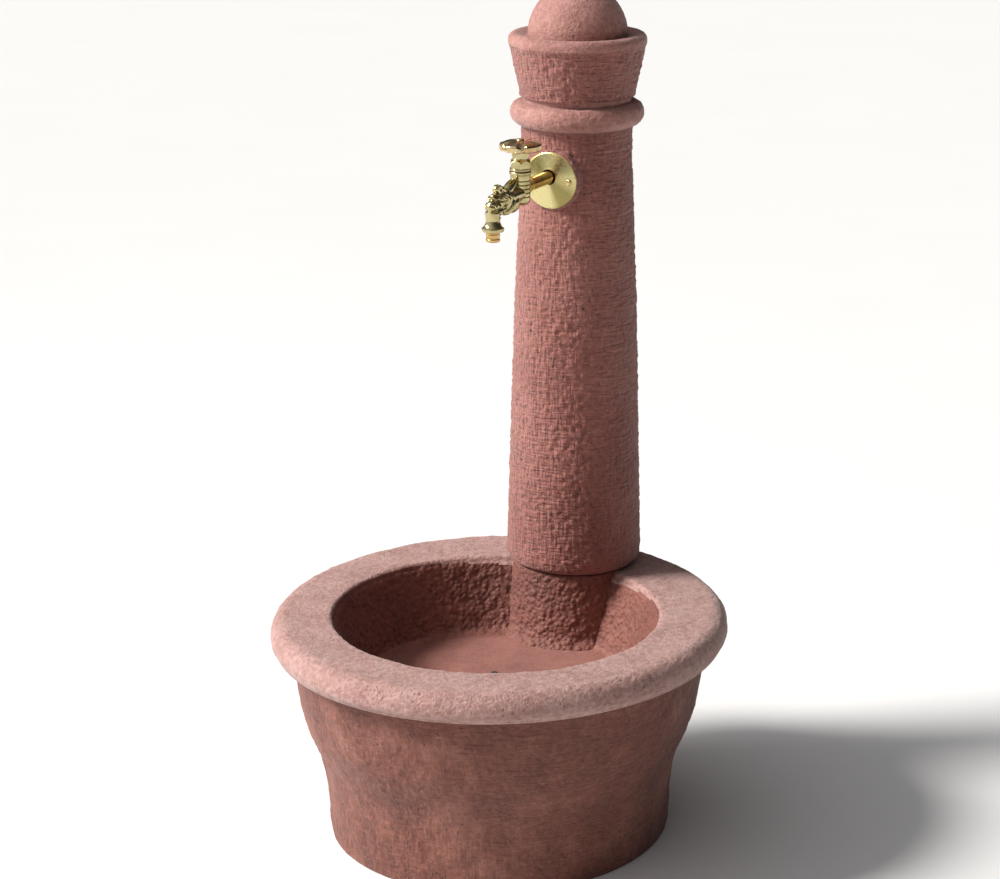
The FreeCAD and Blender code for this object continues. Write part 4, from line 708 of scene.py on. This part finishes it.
def makeBarrel(t):
    low, high, barrel, width = t["barrelFoot"], t["barrelTop"], t["barrel"], t["grooveWidth"]
    corners = [(t["centreHole"], low + 4), (t["centreHole"], low), (barrel, low, t["footRound"])]
    for index in range(t["grooves"]):
        start, bottom = low + t["grooveStart"] + index * t["groovePitch"], barrel - t["grooveDepth"]
        corners += [(barrel, start, 0.4), (bottom, start + width * 0.3), (bottom, start + width * 0.7),
                    (barrel, start + width, 0.4)]
    ringFoot = high - t["ringHeight"]
    corners += [(barrel, ringFoot, 0.5), (t["ring"], ringFoot + 0.7, 0.6), (t["ring"], high, 0.8),
                (t["chamber"], high), (t["chamber"], low + t["chamberFloor"])]
    return valvePiece("tap_barrel", corners, 0.6)


shank = {"start": 9, "root": 9, "rootEnd": 23, "neck": 7.15, "threadStart": 73, "thread": 8.25,
         "threadDepth": 0.9, "flank": 0.35, "pitch": 1.6, "end": 103.5, "bore": 5.2}


def makeShank(s):
    thread, first = s["thread"], s["threadStart"]
    corners = [(s["bore"], s["start"]), (s["root"], s["start"]), (s["root"] - 0.4, s["start"] + 4, 2),
               (s["neck"], s["rootEnd"], 8), (s["neck"], first - 1, 0.6), (thread, first, 0.4)]
    for index in range(1, int((s["end"] - first) / s["pitch"])):
        place = first + index * s["pitch"]
        corners += [(thread, place - s["flank"]), (thread - s["threadDepth"], place),
                    (thread, place + s["flank"])]
    corners += [(thread, s["end"], 0.6), (s["bore"], s["end"])]
    return smoothShade(turnCorners("tap_shank", corners, 0.9, 72, (0, tap["front"], shankHeight), -90), 40)


# head: round forms as (y, z, half length, half width, half height, pitch), with the face raised afterwards
head = {
    "forms": [(2, 711, 18, 10.4, 11.2, 0), (-12, 706, 14, 7.6, 7.8, -28), (-19, 708.2, 7, 6.2, 5.4, -12),
              (-16, 700.6, 8.5, 5.8, 4.8, -30), (24, 704.6, 11.2, 10.8, 11.2, 0),
              (11, 706, 14, 10.6, 11.4, 0), (-5, 724.3, 6.6, 4.6, 5.6, -30), (1, 718.5, 8, 5.4, 7.6, 45),
              (-10, 714.5, 10, 6.4, 5.2, -34), (21, 721.5, 15, 6, 5.2, 27)],
    # forms on both sides, with how far they are from the middle first
    "pairs": [(6.4, -9, 713.2, 4.6, 2.8, 3.2, -30), (5.0, -20, 708.6, 3.6, 2.6, 2.8, 0),
              (8.2, 1, 710.5, 5.8, 3.6, 6.0, 0), (6.6, -12, 702.6, 6.4, 2.8, 3.4, -20)],
    "neckTop": 706, "neckFoot": 689, "neckTopRadius": 9.0, "neckFootRadius": 7.3, "bar": 9.2,
    "voxel": 0.5,
    # lines on the side of the head as (y, z) points, their half width, and how far they stand out
    "lines": [
        ([(-17, 716), (-12, 717.6), (-7, 716.8), (-3, 714)], 1.2, 1.4),
        ([(-14.5, 712.6), (-9.5, 713.6)], 1.4, -2.4),
        ([(-26, 704.8), (-21, 703.8), (-16, 704.2), (-12, 706.2)], 1.2, -2.6),
        ([(-24.8, 710.4), (-23.2, 709.6)], 0.9, -1.8),
        ([(-19, 711.2), (-16, 708.4), (-12, 708.6)], 0.9, 1.2),
    ],
    # ridges as arcs about a (y, z) centre
    "arcs": [
        {"centre": (-6, 710.5), "radii": [4.2, 7.6, 11.2, 14.8, 18.4, 22], "span": (-78, 68), "half": 0.95,
         "height": 1.8},
        {"centre": (-14, 716), "radii": [12.5, 16.4, 20.2], "span": (-98, -42), "half": 0.8, "height": 1.3},
    ],
    "curl": (-5.6, 725.2), "curlHole": 1.7, "curlRing": 4.1,
}


def eggForm(y, z, length, width, height, pitch, x=0):
    egg = addObject(bpy.ops.mesh.primitive_uv_sphere_add, segments=32, ring_count=20, radius=1)
    egg.scale = (width * mm, length * mm, height * mm)
    return putDown(egg, (x, y, z), pitch)


def lineDistance(y, z, points):        # how far each place is from a line through (y, z) points
    nearest = np.full(y.shape, 1e9)
    for (y0, z0), (y1, z1) in zip(points, points[1:]):
        run, rise = y1 - y0, z1 - z0
        share = np.clip(((y - y0) * run + (z - z0) * rise) / (run * run + rise * rise), 0, 1)
        nearest = np.minimum(nearest, np.hypot(y - y0 - share * run, z - z0 - share * rise))
    return nearest


def arcPoints(centre, radius, span):
    angles = np.radians(np.linspace(*span, 18))
    return [(centre[0] + radius * math.cos(a), centre[1] + radius * math.sin(a)) for a in angles]


def makeHead(h):
    eggs = [eggForm(*form) for form in h["forms"]]
    for x, *form in h["pairs"]:
        eggs += [eggForm(*form, x), eggForm(*form, -x)]
    eggs.append(barBetween((0, tap["front"] - 3, tapHeight), (0, -2, tapHeight), h["bar"]))
    eggs.append(barBetween((0, tap["spout"], h["neckFoot"]), (0, tap["spout"], h["neckTop"]),
                           h["neckFootRadius"], h["neckTopRadius"]))
    piece = joinPieces("tap_head", eggs)
    modify(piece, "REMESH", mode="VOXEL", voxel_size=h["voxel"] * mm)
    modify(piece, "SMOOTH", iterations=4)
    places = vertexArray(piece)
    normals = np.empty(len(places) * 3, np.float32)
    piece.data.vertex_normals.foreach_get("vector", normals)
    x, y, z = np.abs(places[:, 0]), places[:, 1], places[:, 2]
    push = np.zeros(len(places))
    for points, half, height in h["lines"]:
        push += height * np.exp(-(lineDistance(y, z, points) / half) ** 2) * smoothStep(1.2, 3.4, x)
    for arcs in h["arcs"]:
        for radius in arcs["radii"]:
            distance = lineDistance(y, z, arcPoints(arcs["centre"], radius, arcs["span"]))
            ridge = np.exp(-(distance / arcs["half"]) ** 2) - 0.42 * np.exp(-(distance / 1.9) ** 2)
            push += arcs["height"] * ridge
    curl = np.hypot(y - h["curl"][0], z - h["curl"][1])
    push -= 2.2 * np.exp(-(curl / h["curlHole"]) ** 2) * smoothStep(2.2, 4.0, x)
    push += 0.7 * np.exp(-((curl - h["curlRing"]) / 0.8) ** 2) * smoothStep(1.4, 3.0, x)
    setVertices(piece, places + normals.reshape(-1, 3) * push[:, None])
    return smoothShade(piece)


collar = {"bore": 6.5, "bottom": 681.5, "foot": 11.1, "radius": 12.1, "widest": 684.3,
          "bell": [(12.0, 685.2), (10.6, 686.2), (9.4, 687.6), (8.6, 689.4), (8.0, 691.4), (7.6, 694)]}


def spoutPiece(name, corners, step):
    return smoothShade(turnCorners(name, corners, step, 96, (0, tap["spout"], 0)), 40)


def makeCollar(c):
    corners = [(c["bore"], c["bell"][-1][1]), (c["bore"], c["bottom"]), (c["foot"], c["bottom"], 0.6),
               (c["radius"], c["widest"], 0.3)]
    return spoutPiece("tap_collar", corners + c["bell"], 0.5)


nozzle = {"step": 0.45,
          "corners": [(5, 670.5), (7.0, 670.5, 0.5), (7.7, 671.3, 0.5), (7.7, 673.4, 0.4), (6.9, 674.0, 0.3),
                      (6.9, 674.8, 0.3), (7.5, 675.4, 0.4), (7.5, 678.6, 0.4), (7.0, 679.1, 0.3),
                      (7.0, 679.9, 0.3), (7.6, 680.4, 0.3), (7.6, 681.5), (6.4, 681.5), (6.4, 687.6),
                      (5, 687.6)]}
bonnet = {"across": 10.35, "inside": 7.6, "low": 738.4, "high": 748.8, "step": 0.35,
          "corners": [(7.4, 736), (11.6, 736, 0.5), (11.6, 737.6, 0.5), (10.9, 738.2, 0.3),
                      (12.3, 738.8, 0.4), (12.3, 743.2, 1), (11.2, 745.6, 3), (8.9, 748.6, 1), (8.9, 749),
                      (7.4, 749)]}
glandNut = {"across": 8.9, "inside": 7.6, "low": 748.9, "high": 756.7, "step": 0.3,
            "corners": [(4.9, 749), (9.2, 749), (10.4, 749.9, 0.3), (10.4, 755.5, 0.4), (9.0, 756.6),
                        (4.9, 756.6)]}


def makeHexPiece(name, h):
    # a turned piece, round inside, whose outer wall is brought in to six flats between two heights
    piece = valvePiece(name, h["corners"], h["step"], 180)
    places = vertexArray(piece)
    x, y, height = places[:, 0], places[:, 1] - tap["front"], places[:, 2]
    radius = np.hypot(x, y)
    flat = h["across"] / np.cos(np.radians(np.mod(np.degrees(np.arctan2(y, x)), 60) - 30))
    outer = (height >= h["low"]) & (height <= h["high"]) & (radius > h["inside"])
    share = np.where(outer, np.minimum(radius, flat), radius) / radius
    places[:, 0] = x * share
    places[:, 1] = y * share + tap["front"]
    setVertices(piece, places)
    return smoothShade(piece, 24)


knob = {"foot": 757.4, "radius": 22.9, "bore": 4.4, "hub": 8.2, "height": 11.0, "rimHeight": 7.6,
        "recess": 1.4, "circle": 29.5, "scallop": 9.4, "flute": 1.5, "lobes": 6}


def makeKnob(k):
    low, radius, hub, circle = k["foot"], k["radius"], k["hub"], k["circle"]
    bore, top, floor = k["bore"], low + k["height"], low + k["recess"]
    corners = [(bore, floor), (9, floor, 0.6), (10.5, low, 0.6), (radius, low, 2.6),
               (radius, low + k["rimHeight"], 3.0), (15, low + 10.2, 16), (hub, low + 10.7, 3),
               (hub - 0.8, top, 0.4), (bore, top)]
    piece = valvePiece("hand_wheel", corners, 0.45, 240)
    places = vertexArray(piece)
    x, y = places[:, 0], places[:, 1] - tap["front"]
    reach, angle = np.hypot(x, y), np.arctan2(y, x)
    period = 2 * math.pi / k["lobes"]
    off = np.mod(angle + period / 2, period) - period / 2
    inside = np.clip(k["scallop"] ** 2 - (circle * np.sin(off)) ** 2, 0, None)
    edge = np.where(inside > 0, circle * np.cos(off) - np.sqrt(inside), radius)
    edge = np.minimum(edge, radius)
    share = np.clip((reach - hub) / (radius - hub), 0, 1)
    moved = np.where(reach > hub, hub + (reach - hub) * (edge - hub) / (radius - hub), reach)
    dip = (radius - edge) / (radius - circle + k["scallop"])
    flute = k["flute"] * dip * np.sin(np.clip(share * 1.15, 0, 1) * math.pi / 2)
    places[:, 2] -= (places[:, 2] > low + 3.5) * flute        # only the upper side is fluted
    places[:, 0] = x * moved / reach
    places[:, 1] = y * moved / reach + tap["front"]
    setVertices(piece, places)
    return smoothShade(piece, 50)


knobScrew = {"radius": 4.2, "height": 2, "foot": -9, "slotWidth": 0.9, "slotDepth": 0.8, "place": 768.3}
coverScrew = {"radius": 3.4, "height": 2.1, "foot": -30, "slotWidth": 1.3, "slotDepth": 1.2, "place": 119.6,
              "apart": 23.5}


def slottedScrew(name, s, place, tilt):
    radius, height, shaft = s["radius"], s["height"], s["radius"] * 0.55
    outline = roundedOutline([(0, s["foot"]), (shaft, s["foot"]), (shaft, 0), (radius, 0, 0.2),
                              (radius, height * 0.25)], 0.3)
    for part in range(1, 9):        # the head's dome
        angle = math.pi / 2 * part / 8
        outline.append((radius * math.cos(angle), height * (0.25 + 0.75 * math.sin(angle))))
    piece = turnPiece(name, outline, 48)
    slot = addObject(bpy.ops.mesh.primitive_cube_add, size=1)
    slot.scale = (radius * 3 * mm, s["slotWidth"] * mm, (s["slotDepth"] + 2) * mm)
    cutAway(piece, putDown(slot, (0, 0, height + 1 - s["slotDepth"] / 2), 0))
    return smoothShade(putDown(piece, place, tilt), 30)


rosette = {"hole": 8.7, "coneTop": 11.5, "coneHeight": 4, "radius": 31.6, "edge": 5.8, "front": 116.7,
           "sheet": 1}


def makeRosette(r):
    hole, radius, cone, edge, sheet = r["hole"], r["radius"], r["coneHeight"], r["edge"], r["sheet"]
    corners = [(hole, 0), (r["coneTop"], 0, 0.8), (radius - 1.6, cone, 0.6), (radius - 1.1, cone + 0.25, 0.3),
               (radius, cone + 0.5, 0.5), (radius, edge), (radius - sheet, edge),
               (radius - sheet - 0.6, cone + sheet), (r["coneTop"], sheet + 0.1), (hole, sheet + 0.1)]
    piece = turnCorners("rosette_cover", corners, 0.7, 200, (0, r["front"], shankHeight), -90)
    lowerEdge(piece, hole, radius)
    return smoothShade(piece, 25)


def brassPiece(piece, nodes, finish=polishedBrass):
    finishPiece(piece, "root", nodes, finish)


brassPiece(makeHead(head), ["tap_body"])
brassPiece(makeBarrel(tap), [])
brassPiece(makeShank(shank), [], shankBrass)
brassPiece(makeCollar(collar), [])
brassPiece(spoutPiece("outlet_nozzle_turned", nozzle["corners"], nozzle["step"]), ["outlet_nozzle"],
           shankBrass)
brassPiece(makeHexPiece("bonnet_nut", bonnet), ["bonnet"])
brassPiece(makeHexPiece("gland_nut_hex", glandNut), ["gland_nut"])
finishPiece(makeKnob(knob), "handle", ["knob"], knobBrass)
finishPiece(slottedScrew("knob_screw_slotted", knobScrew, (0, tap["front"], knobScrew["place"]), 0), "handle",
            ["knob_screw"], screwBrass)
brassPiece(makeRosette(rosette), ["rosette"], rosetteBrass)
coverScrews = [slottedScrew("rosette_screw", coverScrew,
                            (side * coverScrew["apart"], coverScrew["place"], tapHeight), 90)
               for side in (-1, 1)]
finishPiece(joinPieces("rosette_screws_slotted", coverScrews), "root", ["rosette_screws"], screwBrass)
print("tap ready")

# CAD pieces that stay get their finishes
keptFinishes = [
    (turnedBrass, ["spindle", "jumper_valve", "washer_nut", "wall_elbow", "inlet_elbow"]),
    (screwSteel, ["column_screws", "hose_clamps"]),
    (blackRubber, ["nozzle_washer", "seat_washer", "drain_gasket", "inlet_gasket", "drain_plug"]),
    (pressedFibre, ["bonnet_seal", "gland_packing", "shank_seal"]),
    (greyPlastic, ["drain_body", "drain_nut", "inlet_connector", "inlet_nut"]),
    (hosePlastic, ["riser_hose"]),
]
for finish, nodeNames in keptFinishes:
    for nodeName in nodeNames:
        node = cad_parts[nodeName]
        if node.material_slots:
            node.material_slots[0].material = finish
        else:
            node.data.materials.append(finish)

# floor, light and camera, with sizes in metres
studio = {
    "floorSize": 110, "floorColour": (0.80, 0.795, 0.79),
    "sunTurn": (51, 0, -57), "sunAngle": 16, "sunStrength": 4.7, "sunColour": (1, 0.98, 0.95),
    "keyPlace": (-1.7, -0.5, 1.4), "keyAim": (0, 0, 0.6), "keySize": 0.5, "keyPower": 14,
    "skyTurn": (-39.6, 38.3, 0), "skyStrength": 0.34,
    "skyStops": [(0.0, (0.16, 0.16, 0.165)), (0.5, (0.2, 0.2, 0.21)), (0.74, (0.8, 0.81, 0.83)),
                 (1.0, (2.2, 2.2, 2.2))],
    "cameraPlace": (1.3242, -2.5988, 1.335), "cameraPitch": 16.936, "cameraTurn": 27, "cameraLens": 100.92,
    "sensor": 36, "farthest": 90,
}


def makeFloor(s):
    floor = addObject(bpy.ops.mesh.primitive_plane_add, size=s["floorSize"], location=(0, 0, 0))
    floor.name = "studio_floor"
    material, tree, shader, place = newMaterial("studioFloor")
    pale = s["floorColour"]
    stops = [(0.3, tuple(c * 0.985 for c in pale)), (0.7, pale)]
    tone = rampNode(tree, noiseNode(tree, place, 3, 3), stops)
    fillInputs(tree, shader, {"Base Color": tone, "Roughness": 0.85})
    floor.data.materials.append(material)


def makeLights(s):
    sun = addObject(bpy.ops.object.light_add, type="SUN", location=(0, 0, 3))
    sun.name = "studio_sun"
    sun.rotation_euler = [math.radians(angle) for angle in s["sunTurn"]]
    sun.data.angle = math.radians(s["sunAngle"])
    sun.data.energy = s["sunStrength"]
    sun.data.color = s["sunColour"]
    key = addObject(bpy.ops.object.light_add, type="AREA", location=s["keyPlace"])
    key.name = "studio_key"
    key.data.size = s["keySize"]
    key.data.energy = s["keyPower"]
    key.rotation_euler = (Vector(s["keyAim"]) - Vector(s["keyPlace"])).to_track_quat("-Z", "Y").to_euler()

    world = bpy.data.worlds.new("studioWorld")
    world.use_nodes = True
    bpy.context.scene.world = world
    tree = world.node_tree
    heading = addNode(tree, "TexCoord", {})["Generated"]
    turn = [math.radians(angle) for angle in s["skyTurn"]]
    turned = addNode(tree, "Mapping", {"Vector": heading, "Rotation": turn})["Vector"]
    rise = rangeNode(tree, addNode(tree, "SeparateXYZ", {"Vector": turned})["Z"], -1, 1)
    fillInputs(tree, tree.nodes["Background"], {"Color": rampNode(tree, rise, s["skyStops"]),
                                                "Strength": s["skyStrength"]})


def makeCamera(s):
    camera = addObject(bpy.ops.object.camera_add, location=s["cameraPlace"])
    camera.name = "studio_camera"
    camera.rotation_euler = (math.radians(90 - s["cameraPitch"]), 0, math.radians(s["cameraTurn"]))
    camera.data.lens = s["cameraLens"]
    camera.data.sensor_width = s["sensor"]
    camera.data.clip_end = s["farthest"]
    bpy.context.scene.camera = camera
    bpy.context.scene.view_settings.view_transform = "Standard"


makeFloor(studio)
makeLights(studio)
makeCamera(studio)
print("studio ready")
